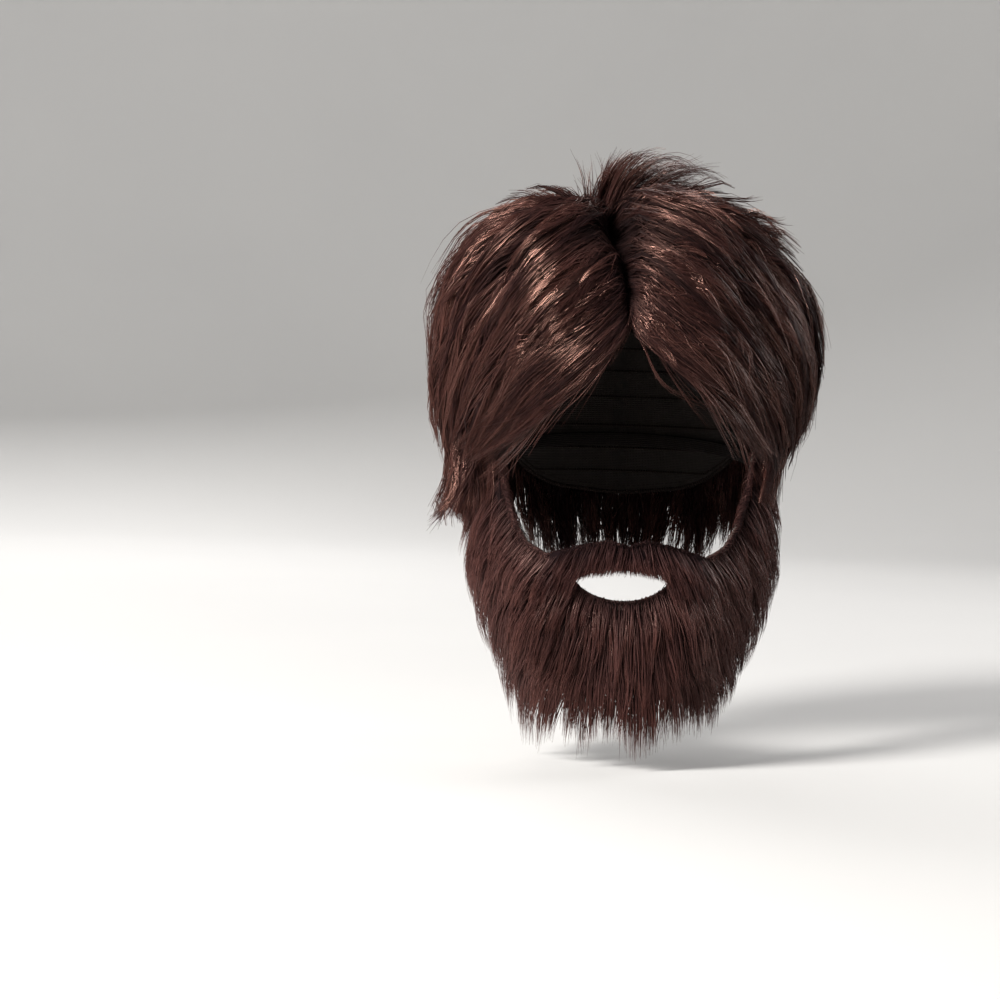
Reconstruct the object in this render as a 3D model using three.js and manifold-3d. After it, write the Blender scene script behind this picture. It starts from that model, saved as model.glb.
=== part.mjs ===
// A wig with a full beard, as worn: a hollow cap covered with sections of long swept hair, and a cloth beard
// backing covered with fur that leaves the mouth free and is held on by an elastic round the back of the head.
// Millimetres, +Z up. The wearer looks along -Y, so +X is on the right of a front view. The origin is the
// inside top of the cap, where the crown of the head carries it.
//
// Every piece follows one head form. A place on it is an azimuth, a latitude and a height. Azimuth 0 is the
// face, 90 the right of a front view and 180 the back. Latitude 0 is the crown, 90 the temples and 170 the foot
// of the chin, past which the form runs on down the neck. Height is measured straight out from the form.
import * as THREE from "three";
import { mergeVertices } from "three/addons/utils/BufferGeometryUtils.js";
import Module from "manifold-3d";

// Head form
const HEAD_HALF_WIDTH = 78;
const HEAD_FRONT = 98;
const HEAD_BACK = 98;
const CROWN_TO_TEMPLES = 100;
const TEMPLES_TO_CHIN = 140;
const DOME_POWER = 0.85;
const TEMPLE_LATITUDE = 90;
const CHIN_LATITUDE = 170;

// Walls, gaps and the reach of the hair
const CAP_WALL = 1.6;
const BACKING_WALL = 1.6;
const GAP = 0.3;
const HAIR_SEAT = 2.6;
const FUR_SEAT = 0.7;
const HAIR_DEPTH = 46;
const FUR_DEPTH = 30;
const HAIR_LOCK_WIDTH = 40;
const FUR_LOCK_WIDTH = 30;

// Standing tuft
const TUFT_HEIGHT = 55;
const TUFT_REACH = 72;
const TUFT_SPREAD = 18;
const TUFT_WIDTH = 16;
const TUFT_THICKNESS = 10;

// Face side of the beard
const MOUTH_WIDTH = 54;
const MOUTH_HEIGHT = 17;
const MOUTH_SHIFT = -3;
const MOUTH_LATITUDE = 142.5;

// Columns round the whole head in the cap, which the elastic keeps to
const CAP_COLUMNS = 32;

// Elastic
const ELASTIC_WIDTH = 8;
const ELASTIC_THICKNESS = 1;
const ELASTIC_INSET = 1;

// Shares of the head's width, front and back, at shares of the way from the temples to the chin
const FORM = [
  { down: 0.0, width: 1.0, front: 1.0, back: 1.0 },
  { down: 0.25, width: 0.985, front: 0.99, back: 0.94 },
  { down: 0.45, width: 0.94, front: 1.0, back: 0.84 },
  { down: 0.65, width: 0.87, front: 1.0, back: 0.76 },
  { down: 0.85, width: 0.75, front: 0.97, back: 0.72 },
  { down: 1.0, width: 0.65, front: 0.9, back: 0.71 },
  { down: 1.35, width: 0.58, front: 0.82, back: 0.7 },
];

// Latitude of the cap's lower edge: hairline, ear tab, over the ear, and nape
const CAP_EDGE = [
  { azimuth: 0, latitude: 58 },
  { azimuth: 30, latitude: 64 },
  { azimuth: 55, latitude: 78 },
  { azimuth: 72, latitude: 94 },
  { azimuth: 84, latitude: 95 },
  { azimuth: 96, latitude: 88 },
  { azimuth: 120, latitude: 104 },
  { azimuth: 145, latitude: 115 },
  { azimuth: 180, latitude: 118 },
];

// Depth of the hair over the form, in shares of HAIR_DEPTH, on the left and right of a front view
const HAIR = [
  { latitude: 0, front: 0.5, templeLeft: 0.56, templeRight: 0.78, left: 0.6, right: 0.84, back: 0.62 },
  { latitude: 15, front: 0.42, templeLeft: 0.68, templeRight: 0.86, left: 0.76, right: 0.94, back: 0.68 },
  { latitude: 30, front: 0.36, templeLeft: 0.74, templeRight: 0.8, left: 0.98, right: 0.92, back: 0.76 },
  { latitude: 45, front: 0.32, templeLeft: 0.68, templeRight: 0.7, left: 1.0, right: 0.94, back: 0.82 },
  { latitude: 62, front: 0.24, templeLeft: 0.5, templeRight: 0.5, left: 0.98, right: 0.9, back: 0.84 },
  { latitude: 76, front: 0.2, templeLeft: 0.38, templeRight: 0.38, left: 0.82, right: 0.76, back: 0.78 },
  { latitude: 90, front: 0.18, templeLeft: 0.3, templeRight: 0.28, left: 0.7, right: 0.6, back: 0.68 },
  { latitude: 104, front: 0.16, templeLeft: 0.26, templeRight: 0.24, left: 0.58, right: 0.3, back: 0.58 },
  { latitude: 112, front: 0.16, templeLeft: 0.26, templeRight: 0.22, left: 0.58, right: 0.26, back: 0.52 },
  { latitude: 120, front: 0.16, templeLeft: 0.3, templeRight: 0.22, left: 0.78, right: 0.26, back: 0.48 },
  { latitude: 145, front: 0.16, templeLeft: 0.24, templeRight: 0.22, left: 0.4, right: 0.3, back: 0.38 },
];

// Latitude of the beard backing's upper and lower edges on each side of the nose
const BACKING_EDGE = [
  { azimuth: 0, top: 129.5, bottom: 170 },
  { azimuth: 8, top: 127.5, bottom: 170 },
  { azimuth: 20, top: 128.5, bottom: 169 },
  { azimuth: 38, top: 131, bottom: 166 },
  { azimuth: 50, top: 128.5, bottom: 161 },
  { azimuth: 58, top: 122.5, bottom: 156 },
  { azimuth: 63, top: 114, bottom: 152 },
  { azimuth: 66, top: 104, bottom: 149 },
  { azimuth: 70, top: 97, bottom: 145 },
  { azimuth: 86, top: 98, bottom: 128 },
];

// Depth of the fur over the form, in shares of FUR_DEPTH
const FUR = [
  { azimuth: 0, lip: 0.32, cheek: 0.36, jaw: 0.66, chin: 0.76, hem: 0.5 },
  { azimuth: 30, lip: 0.3, cheek: 0.36, jaw: 0.7, chin: 0.8, hem: 0.5 },
  { azimuth: 50, lip: 0.26, cheek: 0.5, jaw: 0.82, chin: 0.9, hem: 0.56 },
  { azimuth: 75, lip: 0.46, cheek: 0.9, jaw: 0.92, chin: 0.9, hem: 0.56 },
  { azimuth: 95, lip: 0.5, cheek: 0.96, jaw: 0.94, chin: 0.86, hem: 0.5 },
];
const FUR_LEVELS = [
  { latitude: 108, level: "lip" },
  { latitude: 136, level: "cheek" },
  { latitude: 152, level: "jaw" },
  { latitude: 168, level: "chin" },
  { latitude: 196, level: "hem" },
];

// One row for each section of hair: its locks fan evenly from the first figure of each pair to the second. A
// sweepPower under 1 carries a lock sideways before it falls, and one over 1 lets it fall first. Widths are
// shares of HAIR_LOCK_WIDTH.
const HAIR_SECTIONS = [
  {
    name: "fringe_left",
    locks: 5,
    rootAzimuth: [-1, -8],
    rootLatitude: [60, 16],
    tipAzimuth: [-67, -84],
    tipLatitude: [103, 104],
    sweepPower: [1.5, 0.8],
    width: [0.42, 0.75],
  },
  {
    name: "fringe_right",
    locks: 5,
    rootAzimuth: [1, 8],
    rootLatitude: [60, 16],
    tipAzimuth: [65, 84],
    tipLatitude: [101, 102],
    sweepPower: [1.5, 0.8],
    width: [0.42, 0.75],
  },
  {
    name: "crown_hair_left",
    locks: 5,
    rootAzimuth: [-20, -120],
    rootLatitude: [3, 3],
    tipAzimuth: [-86, -120],
    tipLatitude: [100, 108],
    sweepPower: [0.6, 1],
    width: [0.95, 1.05],
  },
  {
    name: "crown_hair_right",
    locks: 5,
    rootAzimuth: [20, 120],
    rootLatitude: [3, 3],
    tipAzimuth: [86, 120],
    tipLatitude: [98, 108],
    sweepPower: [0.6, 1],
    width: [0.95, 1.05],
  },
  {
    name: "side_hair_left",
    locks: 4,
    rootAzimuth: [-69, -120],
    rootLatitude: [91, 84],
    tipAzimuth: [-72, -118],
    tipLatitude: [121, 130],
    sweepPower: [1, 1],
    width: [0.65, 1],
  },
  {
    name: "side_hair_right",
    locks: 4,
    rootAzimuth: [67, 120],
    rootLatitude: [91, 84],
    tipAzimuth: [70, 118],
    tipLatitude: [115, 128],
    sweepPower: [1, 1],
    width: [0.65, 1],
  },
  {
    name: "back_hair",
    locks: 6,
    rootAzimuth: [138, 222],
    rootLatitude: [3, 3],
    tipAzimuth: [137, 223],
    tipLatitude: [114, 114],
    sweepPower: [1, 1],
    width: [1.15, 1.15],
  },
  {
    name: "nape_hair",
    locks: 6,
    rootAzimuth: [126, 234],
    rootLatitude: [101, 101],
    tipAzimuth: [128, 232],
    tipLatitude: [144, 144],
    sweepPower: [1, 1],
    width: [1.05, 1.05],
  },
];

const wasm = await Module();
wasm.setup();

// Value of a column at a place between the rows of a table, in a straight line from row to row
function between(rows, key, place, column) {
  const last = rows.length - 1;
  if (place <= rows[0][key]) return rows[0][column];
  if (place >= rows[last][key]) return rows[last][column];
  const i = rows.findIndex((row) => row[key] > place) - 1;
  const share = (place - rows[i][key]) / (rows[i + 1][key] - rows[i][key]);
  return THREE.MathUtils.lerp(rows[i][column], rows[i + 1][column], share);
}

const rise = (from, to, value) => THREE.MathUtils.smoothstep(value, from, to);
const mix = (pair, share) => THREE.MathUtils.lerp(pair[0], pair[1], share);

// Azimuth brought to between -180 and 180
const signed = (azimuth) => THREE.MathUtils.euclideanModulo(azimuth + 180, 360) - 180;

// Point on the form itself
function formPoint(azimuth, latitude) {
  const turn = THREE.MathUtils.degToRad(azimuth);
  const dome = THREE.MathUtils.degToRad(Math.min(latitude, TEMPLE_LATITUDE));
  const down = Math.max(latitude - TEMPLE_LATITUDE, 0) / (CHIN_LATITUDE - TEMPLE_LATITUDE);
  const reach = Math.sin(dome) ** DOME_POWER;
  const front = Math.cos(turn) > 0;
  const depth = (front ? HEAD_FRONT : HEAD_BACK) * between(FORM, "down", down, front ? "front" : "back");
  return new THREE.Vector3(
    HEAD_HALF_WIDTH * between(FORM, "down", down, "width") * reach * Math.sin(turn),
    -depth * reach * Math.cos(turn),
    -CROWN_TO_TEMPLES * (1 - Math.cos(dome) ** DOME_POWER) - TEMPLES_TO_CHIN * down,
  );
}

// Point at a height over the form, and the direction straight out of the form there
function onForm(azimuth, latitude, height = 0) {
  const step = 0.5;
  const at = Math.max(latitude, 2 * step);
  const round = formPoint(azimuth + step, at).sub(formPoint(azimuth - step, at));
  const down = formPoint(azimuth, at + step).sub(formPoint(azimuth, at - step));
  const out = down.cross(round).normalize();
  return { point: formPoint(azimuth, latitude).addScaledVector(out, height), out };
}

// Depth of the wig's hair over the form
function hairDepth(azimuth, latitude) {
  const turn = signed(azimuth);
  const right = turn >= 0;
  const at = (column) => between(HAIR, "latitude", latitude, column);
  const ring = [
    { azimuth: 0, depth: at("front") },
    { azimuth: 45, depth: at(right ? "templeRight" : "templeLeft") },
    { azimuth: 95, depth: at(right ? "right" : "left") },
    { azimuth: 180, depth: at("back") },
  ];
  return HAIR_DEPTH * between(ring, "azimuth", Math.abs(turn), "depth");
}

// Depth of the beard's fur over the form
function furDepth(azimuth, latitude) {
  const rows = FUR_LEVELS.map(({ latitude: at, level }) => ({
    latitude: at,
    depth: between(FUR, "azimuth", Math.abs(azimuth), level),
  }));
  return FUR_DEPTH * between(rows, "latitude", latitude, "depth");
}

// Solid from rings of points that follow each other
function loft(rings) {
  const size = rings[0].length;
  const points = rings.flat();
  const faces = [];
  for (let r = 0; r + 1 < rings.length; r++) {
    for (let i = 0; i < size; i++) {
      const a = r * size + i;
      const b = r * size + ((i + 1) % size);
      faces.push(a, b, b + size, a, b + size, a + size);
    }
  }
  for (let i = 1; i + 1 < size; i++) {
    const end = (rings.length - 1) * size;
    faces.push(0, i + 1, i, end, end + i, end + i + 1);
  }
  return solid(points, faces);
}

function solid(points, faces) {
  const geometry = new THREE.BufferGeometry();
  geometry.setAttribute(
    "position",
    new THREE.Float32BufferAttribute(points.flatMap((p) => [p.x, p.y, p.z]), 3),
  );
  geometry.setIndex(faces);
  return solidOf(geometry);
}

function solidOf(geometry) {
  const bare = geometry.clone();
  bare.deleteAttribute("normal");
  bare.deleteAttribute("uv");
  const merged = mergeVertices(bare, 1e-4);
  const made = new wasm.Manifold(
    new wasm.Mesh({
      numProp: 3,
      vertProperties: merged.attributes.position.array,
      triVerts: new Uint32Array(merged.index.array),
    }),
  );
  if (made.volume() > 0) return made;
  const turned = new Uint32Array(merged.index.array);
  for (let i = 0; i < turned.length; i += 3) [turned[i + 1], turned[i + 2]] = [turned[i + 2], turned[i + 1]];
  return new wasm.Manifold(
    new wasm.Mesh({
      numProp: 3,
      vertProperties: merged.attributes.position.array,
      triVerts: turned,
    }),
  );
}

function geometryOf(made) {
  const mesh = made.getMesh();
  const positions = new Float32Array(mesh.numVert * 3);
  for (let i = 0; i < mesh.numVert; i++) {
    positions.set(mesh.vertProperties.subarray(i * mesh.numProp, i * mesh.numProp + 3), i * 3);
  }
  const geometry = new THREE.BufferGeometry();
  geometry.setAttribute("position", new THREE.BufferAttribute(positions, 3));
  geometry.setIndex(new THREE.BufferAttribute(mesh.triVerts, 1));
  geometry.computeVertexNormals();
  return geometry;
}

const union = (solids) => solids.reduce((whole, next) => whole.add(next));

// The largest body of a solid, without the slivers that a cut leaves
function mainBody(made) {
  return made.decompose().reduce((best, next) => (next.volume() > best.volume() ? next : best));
}

// Everything within a height of the form, down to a latitude
function formPlug(height, lastLatitude) {
  const columns = 24;
  const rings = [];
  for (let latitude = 1; latitude < lastLatitude; latitude += 15) {
    rings.push(
      Array.from({ length: columns }, (_, i) => onForm((i * 360) / columns, latitude, height).point),
    );
  }
  return loft(rings);
}

// Cap: a shell of one wall from the crown to its lower edge
function capSolid() {
  const columns = CAP_COLUMNS;
  const rows = 6;
  const points = [];
  const faces = [];
  const heights = [CAP_WALL, 0];
  for (const height of heights) {
    points.push(onForm(0, 0, height).point);
    for (let r = 1; r <= rows; r++) {
      for (let i = 0; i < columns; i++) {
        const azimuth = (i * 360) / columns;
        const edge = between(CAP_EDGE, "azimuth", Math.abs(signed(azimuth)), "latitude");
        points.push(onForm(azimuth, (edge * r) / rows, height).point);
      }
    }
  }
  const layer = 1 + rows * columns;
  const at = (side, r, i) => side * layer + 1 + (r - 1) * columns + (i % columns);
  for (let i = 0; i < columns; i++) {
    faces.push(0, at(0, 1, i), at(0, 1, i + 1), layer, at(1, 1, i + 1), at(1, 1, i));
    for (let r = 1; r < rows; r++) {
      faces.push(at(0, r, i), at(0, r + 1, i), at(0, r + 1, i + 1));
      faces.push(at(0, r, i), at(0, r + 1, i + 1), at(0, r, i + 1));
      faces.push(at(1, r, i), at(1, r + 1, i + 1), at(1, r + 1, i));
      faces.push(at(1, r, i), at(1, r, i + 1), at(1, r + 1, i + 1));
    }
    faces.push(at(0, rows, i), at(1, rows, i), at(1, rows, i + 1));
    faces.push(at(0, rows, i), at(1, rows, i + 1), at(0, rows, i + 1));
  }
  return solid(points, faces);
}

// Lens-shaped prism through the front of the face, which frees the mouth
function mouthCutter(margin) {
  const half = MOUTH_WIDTH / 2 + margin;
  const rise = MOUTH_HEIGHT * 0.28 + margin;
  const fall = MOUTH_HEIGHT * 0.72 + margin;
  const shape = new THREE.Shape();
  shape.moveTo(-half, 0);
  shape.quadraticCurveTo(-half * 0.45, rise * 1.25, 0, rise);
  shape.quadraticCurveTo(half * 0.45, rise * 1.25, half, 0);
  shape.quadraticCurveTo(half * 0.5, -fall * 1.2, 0, -fall);
  shape.quadraticCurveTo(-half * 0.5, -fall * 1.2, -half, 0);
  const depth = HEAD_FRONT * 1.2;
  const geometry = new THREE.ExtrudeGeometry(shape, { depth, bevelEnabled: false, curveSegments: 5 });
  geometry.rotateX(Math.PI / 2);
  geometry.translate(MOUTH_SHIFT, -HEAD_FRONT * 0.4, formPoint(0, MOUTH_LATITUDE).z + MOUTH_HEIGHT * 0.28);
  return solidOf(geometry);
}

// Beard backing: a shell of one wall from ear to ear between its upper and lower edges
function backingSolid() {
  const rows = 5;
  const side = BACKING_EDGE.slice(1).map((row) => row.azimuth);
  const azimuths = [...side.map((a) => -a).reverse(), 0, ...side];
  const rings = azimuths.map((azimuth) => {
    const top = between(BACKING_EDGE, "azimuth", Math.abs(azimuth), "top");
    const bottom = between(BACKING_EDGE, "azimuth", Math.abs(azimuth), "bottom");
    const at = (share, height) => onForm(azimuth, THREE.MathUtils.lerp(top, bottom, share), height).point;
    const outer = Array.from({ length: rows + 1 }, (_, r) => at(r / rows, BACKING_WALL));
    const inner = Array.from({ length: rows + 1 }, (_, r) => at(1 - r / rows, 0));
    return [...outer, ...inner];
  });
  return loft(rings).subtract(mouthCutter(0));
}

// Elastic: a flat band round the back of the head, inside the cap and the ends of the backing
function elasticSolid() {
  const ends = (7 * 360) / CAP_COLUMNS;
  const steps = CAP_COLUMNS - 14;
  const sideLatitude = 106;
  const backLatitude = 99;
  const degrees = (CHIN_LATITUDE - TEMPLE_LATITUDE) / TEMPLES_TO_CHIN;
  const halfWidth = (ELASTIC_WIDTH / 2) * degrees;
  const rings = Array.from({ length: steps + 1 }, (_, i) => {
    const azimuth = THREE.MathUtils.lerp(ends, 360 - ends, i / steps);
    const away = Math.abs(azimuth - 180) / (180 - ends);
    const latitude = THREE.MathUtils.lerp(backLatitude, sideLatitude, away ** 2);
    return [
      onForm(azimuth, latitude - halfWidth, -ELASTIC_INSET).point,
      onForm(azimuth, latitude + halfWidth, -ELASTIC_INSET).point,
      onForm(azimuth, latitude + halfWidth, -ELASTIC_INSET - ELASTIC_THICKNESS).point,
      onForm(azimuth, latitude - halfWidth, -ELASTIC_INSET - ELASTIC_THICKNESS).point,
    ];
  });
  return loft(rings);
}

// One lock: a rounded strip laid over the form along a path. path gives the azimuth, latitude, base height and
// top height at a share of the length; width is its widest, and grow swells the whole section.
const LOCK_SECTION = [
  { across: -0.5, up: 0 },
  { across: -0.36, up: 0.84 },
  { across: 0, up: 1 },
  { across: 0.36, up: 0.84 },
  { across: 0.5, up: 0 },
];
function lockSolid(path, width, steps, grow) {
  const stations = Array.from({ length: steps + 1 }, (_, i) => {
    const share = i / steps;
    const { azimuth, latitude, base, top } = path(share);
    const low = onForm(azimuth, latitude, base - grow);
    const high = onForm(azimuth, latitude, top + grow);
    const fullness = (0.6 + 0.4 * rise(0, 0.3, share)) * (1 - 0.8 * rise(0.66, 1, share));
    return { low, high, width: width * fullness + 2 * grow };
  });
  const rings = stations.map(({ low, high, width: wide }, i) => {
    const ahead = stations[Math.min(i + 1, steps)].low.point;
    const behind = stations[Math.max(i - 1, 0)].low.point;
    const along = ahead.clone().sub(behind).normalize();
    const across = along.clone().cross(low.out).normalize();
    const end = i === steps ? grow : i === 0 ? -grow : 0;
    return LOCK_SECTION.map((corner) =>
      low.point
        .clone()
        .lerp(high.point, corner.up)
        .addScaledVector(across, corner.across * wide)
        .addScaledVector(along, 2 * end),
    );
  });
  return loft(rings);
}

// Paths of the locks of one section of hair
function hairLocks(section, grow) {
  const base = CAP_WALL + HAIR_SEAT;
  return Array.from({ length: section.locks }, (_, i) => {
    const order = section.locks > 1 ? i / (section.locks - 1) : 0;
    const stagger = i % 2 ? 0.9 : 1;
    const path = (share) => {
      const swept = share ** mix(section.sweepPower, order);
      const azimuth = THREE.MathUtils.lerp(
        mix(section.rootAzimuth, order),
        mix(section.tipAzimuth, order),
        swept,
      );
      const root = mix(section.rootLatitude, order);
      const latitude = root + (mix(section.tipLatitude, order) - root) * share * stagger;
      const depth = hairDepth(azimuth, latitude);
      const lift = 0.6 + 0.4 * rise(0, 0.2, share);
      return {
        azimuth,
        latitude,
        base: base + depth * 0.4 * rise(0.7, 1, share),
        top: base + (depth - base) * lift * (1 - 0.2 * rise(0.75, 1, share)) * (i % 2 ? 0.93 : 1),
      };
    };
    return lockSolid(path, HAIR_LOCK_WIDTH * mix(section.width, order), 5, grow);
  });
}

// Locks that stand up from the crown and arch over to the right of a front view, from the back one to the front
// one, in shares of TUFT_SPREAD, TUFT_HEIGHT and TUFT_REACH
const TUFT = [
  { aside: 0.9, shoulder: 0.6, peak: 0.84, end: 0.66, reach: 0.86 },
  { aside: 0.33, shoulder: 0.66, peak: 1.0, end: 0.72, reach: 0.94 },
  { aside: -0.33, shoulder: 0.62, peak: 0.92, end: 0.62, reach: 1.0 },
  { aside: -1.0, shoulder: 0.58, peak: 0.8, end: 0.56, reach: 0.8 },
];
function tuftLocks(grow) {
  const root = onForm(-88, 12, CAP_WALL + 2 * HAIR_SEAT).point;
  return TUFT.map((lock) => {
    const at = (reach, height) =>
      new THREE.Vector3(
        root.x + reach * lock.reach * TUFT_REACH,
        root.y + lock.aside * TUFT_SPREAD * (0.3 + reach),
        root.z + height * TUFT_HEIGHT,
      );
    const curve = new THREE.CatmullRomCurve3([
      at(0, 0),
      at(0.05, lock.shoulder),
      at(0.32, lock.peak),
      at(0.7, lock.peak * 0.96),
      at(1, lock.end),
    ]);
    const steps = 7;
    const rings = Array.from({ length: steps + 1 }, (_, s) => {
      const share = s / steps;
      const point = curve.getPointAt(share);
      const along = curve.getTangentAt(share);
      const across = new THREE.Vector3(0, 1, 0);
      const up = across.clone().cross(along).normalize();
      const size = 1 - 0.75 * share ** 2;
      const wide = (TUFT_WIDTH * size) / 2 + grow;
      const thick = (TUFT_THICKNESS * size) / 2 + grow;
      return Array.from({ length: 6 }, (_, k) => {
        const turn = (k * Math.PI) / 3;
        return point
          .clone()
          .addScaledVector(across, wide * Math.cos(turn))
          .addScaledVector(up, thick * Math.sin(turn));
      });
    });
    return loft(rings);
  });
}

// Rows of fur locks on the beard, each fanning from the first figure of each pair to the second. In degrees,
// drop is how far the tips fall below the roots, and spread how far they turn aside. Widths are shares of
// FUR_LOCK_WIDTH.
const FUR_SECTIONS = [
  {
    name: "moustache",
    rows: [
      { locks: 3, azimuth: [-3, -27], root: [130, 130], drop: [9, 16], spread: [-6, -11], width: [0.65, 0.65] },
      { locks: 3, azimuth: [3, 27], root: [130, 130], drop: [9, 16], spread: [6, 11], width: [0.65, 0.65] },
    ],
  },
  {
    name: "cheek_fur_left",
    rows: [
      { locks: 3, azimuth: [-82, -67], root: [101, 104], drop: [48, 46], spread: [-5, -4], width: [0.9, 0.7] },
      { locks: 3, azimuth: [-61, -32], root: [122, 138], drop: [46, 44], spread: [-5, -2], width: [0.9, 0.9] },
      { locks: 3, azimuth: [-80, -50], root: [140, 150], drop: [37, 40], spread: [-6, -3], width: [1, 0.9] },
    ],
  },
  {
    name: "cheek_fur_right",
    rows: [
      { locks: 3, azimuth: [82, 67], root: [101, 104], drop: [48, 46], spread: [5, 4], width: [0.9, 0.7] },
      { locks: 3, azimuth: [61, 32], root: [122, 138], drop: [46, 44], spread: [5, 2], width: [0.9, 0.9] },
      { locks: 3, azimuth: [80, 50], root: [140, 150], drop: [37, 40], spread: [6, 3], width: [1, 0.9] },
    ],
  },
  {
    name: "chin_fur",
    rows: [
      { locks: 7, azimuth: [-34, 34], root: [146, 146], drop: [51, 51], spread: [-7, 7], width: [0.8, 0.8] },
    ],
  },
];
function furLocks(section, grow) {
  const base = BACKING_WALL + FUR_SEAT;
  return section.rows.flatMap((row) =>
    Array.from({ length: row.locks }, (_, i) => {
      const order = row.locks > 1 ? i / (row.locks - 1) : 0;
      const stagger = i % 2 ? 0.88 : 1;
      const path = (share) => {
        const azimuth = mix(row.azimuth, order) + mix(row.spread, order) * share;
        const latitude = mix(row.root, order) + mix(row.drop, order) * share * stagger;
        const depth = Math.max(furDepth(azimuth, latitude), base + 3);
        const lift = 0.55 + 0.45 * rise(0, 0.3, share);
        return {
          azimuth,
          latitude,
          base: base + depth * 0.4 * rise(0.6, 1, share),
          top: base + (depth - base) * lift * (1 - 0.25 * rise(0.7, 1, share)) * (i % 2 ? 0.93 : 1),
        };
      };
      return lockSolid(path, FUR_LOCK_WIDTH * mix(row.width, order), 4, grow);
    }),
  );
}

// Fibre and cloth finish of a colour, as linear red, green and blue
function fibre(colour, roughness) {
  return new THREE.MeshStandardMaterial({ color: new THREE.Color(...colour), roughness, metalness: 0 });
}
const materials = {
  hair: fibre([0.13, 0.07, 0.05], 0.42),
  fur: fibre([0.12, 0.065, 0.045], 0.6),
  net: fibre([0.05, 0.035, 0.03], 0.85),
  backing: fibre([0.07, 0.045, 0.035], 0.9),
  elastic: fibre([0.04, 0.03, 0.028], 0.8),
};

const wig = new THREE.Group();
function addPiece(name, made, material) {
  const mesh = new THREE.Mesh(geometryOf(made), material);
  mesh.name = name;
  wig.add(mesh);
}

addPiece("wig_cap", capSolid(), materials.net);
addPiece("beard_backing", mainBody(backingSolid()), materials.backing);
addPiece("beard_elastic", elasticSolid(), materials.elastic);

// Each piece of hair or fur is cut clear of the head and of the pieces made before it, which lie over it
const mouthRoom = mouthCutter(1);
const pieces = [
  { name: "crown_tuft", locks: tuftLocks, material: materials.hair },
  ...HAIR_SECTIONS.map((section) => ({
    name: section.name,
    locks: (grow) => hairLocks(section, grow),
    material: materials.hair,
  })),
  ...FUR_SECTIONS.map((section) => ({
    name: section.name,
    locks: (grow) => furLocks(section, grow),
    material: materials.fur,
  })),
];
const keptClear = [mouthRoom];
for (const piece of pieces) {
  const mass = keptClear.reduce((rest, other) => rest.subtract(other), union(piece.locks(0)));
  addPiece(piece.name, mainBody(mass), piece.material);
  keptClear.push(union(piece.locks(GAP)));
}

export default wig;
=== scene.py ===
# A shaggy centre-parted wig on a net cap, and a full beard on a knitted backing with an elastic behind.
# Tables and sizes are in millimetres and follow the solids; meshes are made in metres.
import math
from collections import namedtuple

import bmesh
import bpy
import numpy as np
from mathutils import Matrix, Vector


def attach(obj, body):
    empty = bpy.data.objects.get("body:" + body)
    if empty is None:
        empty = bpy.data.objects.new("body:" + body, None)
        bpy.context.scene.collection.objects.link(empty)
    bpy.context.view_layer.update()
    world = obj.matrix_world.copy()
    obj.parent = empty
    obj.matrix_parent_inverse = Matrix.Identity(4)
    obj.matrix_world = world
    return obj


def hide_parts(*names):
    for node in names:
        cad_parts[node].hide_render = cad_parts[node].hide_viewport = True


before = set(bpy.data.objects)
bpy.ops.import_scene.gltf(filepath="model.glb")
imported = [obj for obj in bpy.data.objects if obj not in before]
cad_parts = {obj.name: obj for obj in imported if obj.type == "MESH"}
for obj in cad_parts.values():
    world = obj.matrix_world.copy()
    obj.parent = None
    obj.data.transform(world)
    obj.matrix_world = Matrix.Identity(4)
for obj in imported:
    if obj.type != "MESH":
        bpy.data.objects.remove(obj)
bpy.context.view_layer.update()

MM = 0.001

# Head form
HEAD_HALF_WIDTH = 78
HEAD_FRONT = 98
HEAD_BACK = 98
CROWN_TO_TEMPLES = 100
TEMPLES_TO_CHIN = 140
DOME_POWER = 0.85
TEMPLE_LATITUDE = 90
CHIN_LATITUDE = 170
MM_PER_DEGREE = TEMPLES_TO_CHIN / (CHIN_LATITUDE - TEMPLE_LATITUDE)
MEAN_RADIUS = 80

# Walls, and the reach of the hair and the fur over the form
CAP_WALL = 1.6
BACKING_WALL = 1.6
HAIR_SEAT = 2.6
HAIR_DEPTH = 46
FUR_DEPTH = 30
HAIR_LOCK_WIDTH = 40
FUR_LOCK_WIDTH = 30
LOCK_SIDES = 12

# Standing tuft
TUFT_AZIMUTH = -88
TUFT_LATITUDE = 12
TUFT_HEIGHT = 55
TUFT_REACH = 72
TUFT_SPREAD = 18
TUFT_WISPS = 80
TUFT_SPIKES = 26

# Strands: the size and the scale of their frizz, the width of a fur strand, and the range of the grain's places
HAIR_FRIZZ = (5.0, 42.0)
WISP_FRIZZ = (1.8, 60.0)
FUR_FRIZZ = (2.0, 90.0)
NO_FRIZZ = (0.0, 1.0)
FUR_STRAND = 0.45
FUR_SEGMENTS = 6
GRAIN_RANGE = 400

# Sewing: stitches of thread, and the widths of the cap's rows and rim and of the backing's hem
STITCH_PITCH = 3.0
STITCH_LENGTH = 2.2
STITCH_THREAD = 0.5
ROW_WIDTH = 1.5
RIM_WIDTH = 2.6
HEM_WIDTH = 1.2
WELD_DISTANCE = 0.00001

# Mouth opening
MOUTH_HALF_WIDTH = 27
MOUTH_HEIGHT = 17
MOUTH_SHIFT = -3
MOUTH_LATITUDE = 142.5
MOUTH_RISE = MOUTH_HEIGHT * 0.28
MOUTH_FALL = MOUTH_HEIGHT * 0.72

# Elastic, with its latitudes behind the head and at its ends
ELASTIC_WIDTH = 8
ELASTIC_THICKNESS = 1
ELASTIC_INSET = 1
ELASTIC_END = 78.75
ELASTIC_BEHIND = 99
ELASTIC_AT_ENDS = 106

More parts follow.
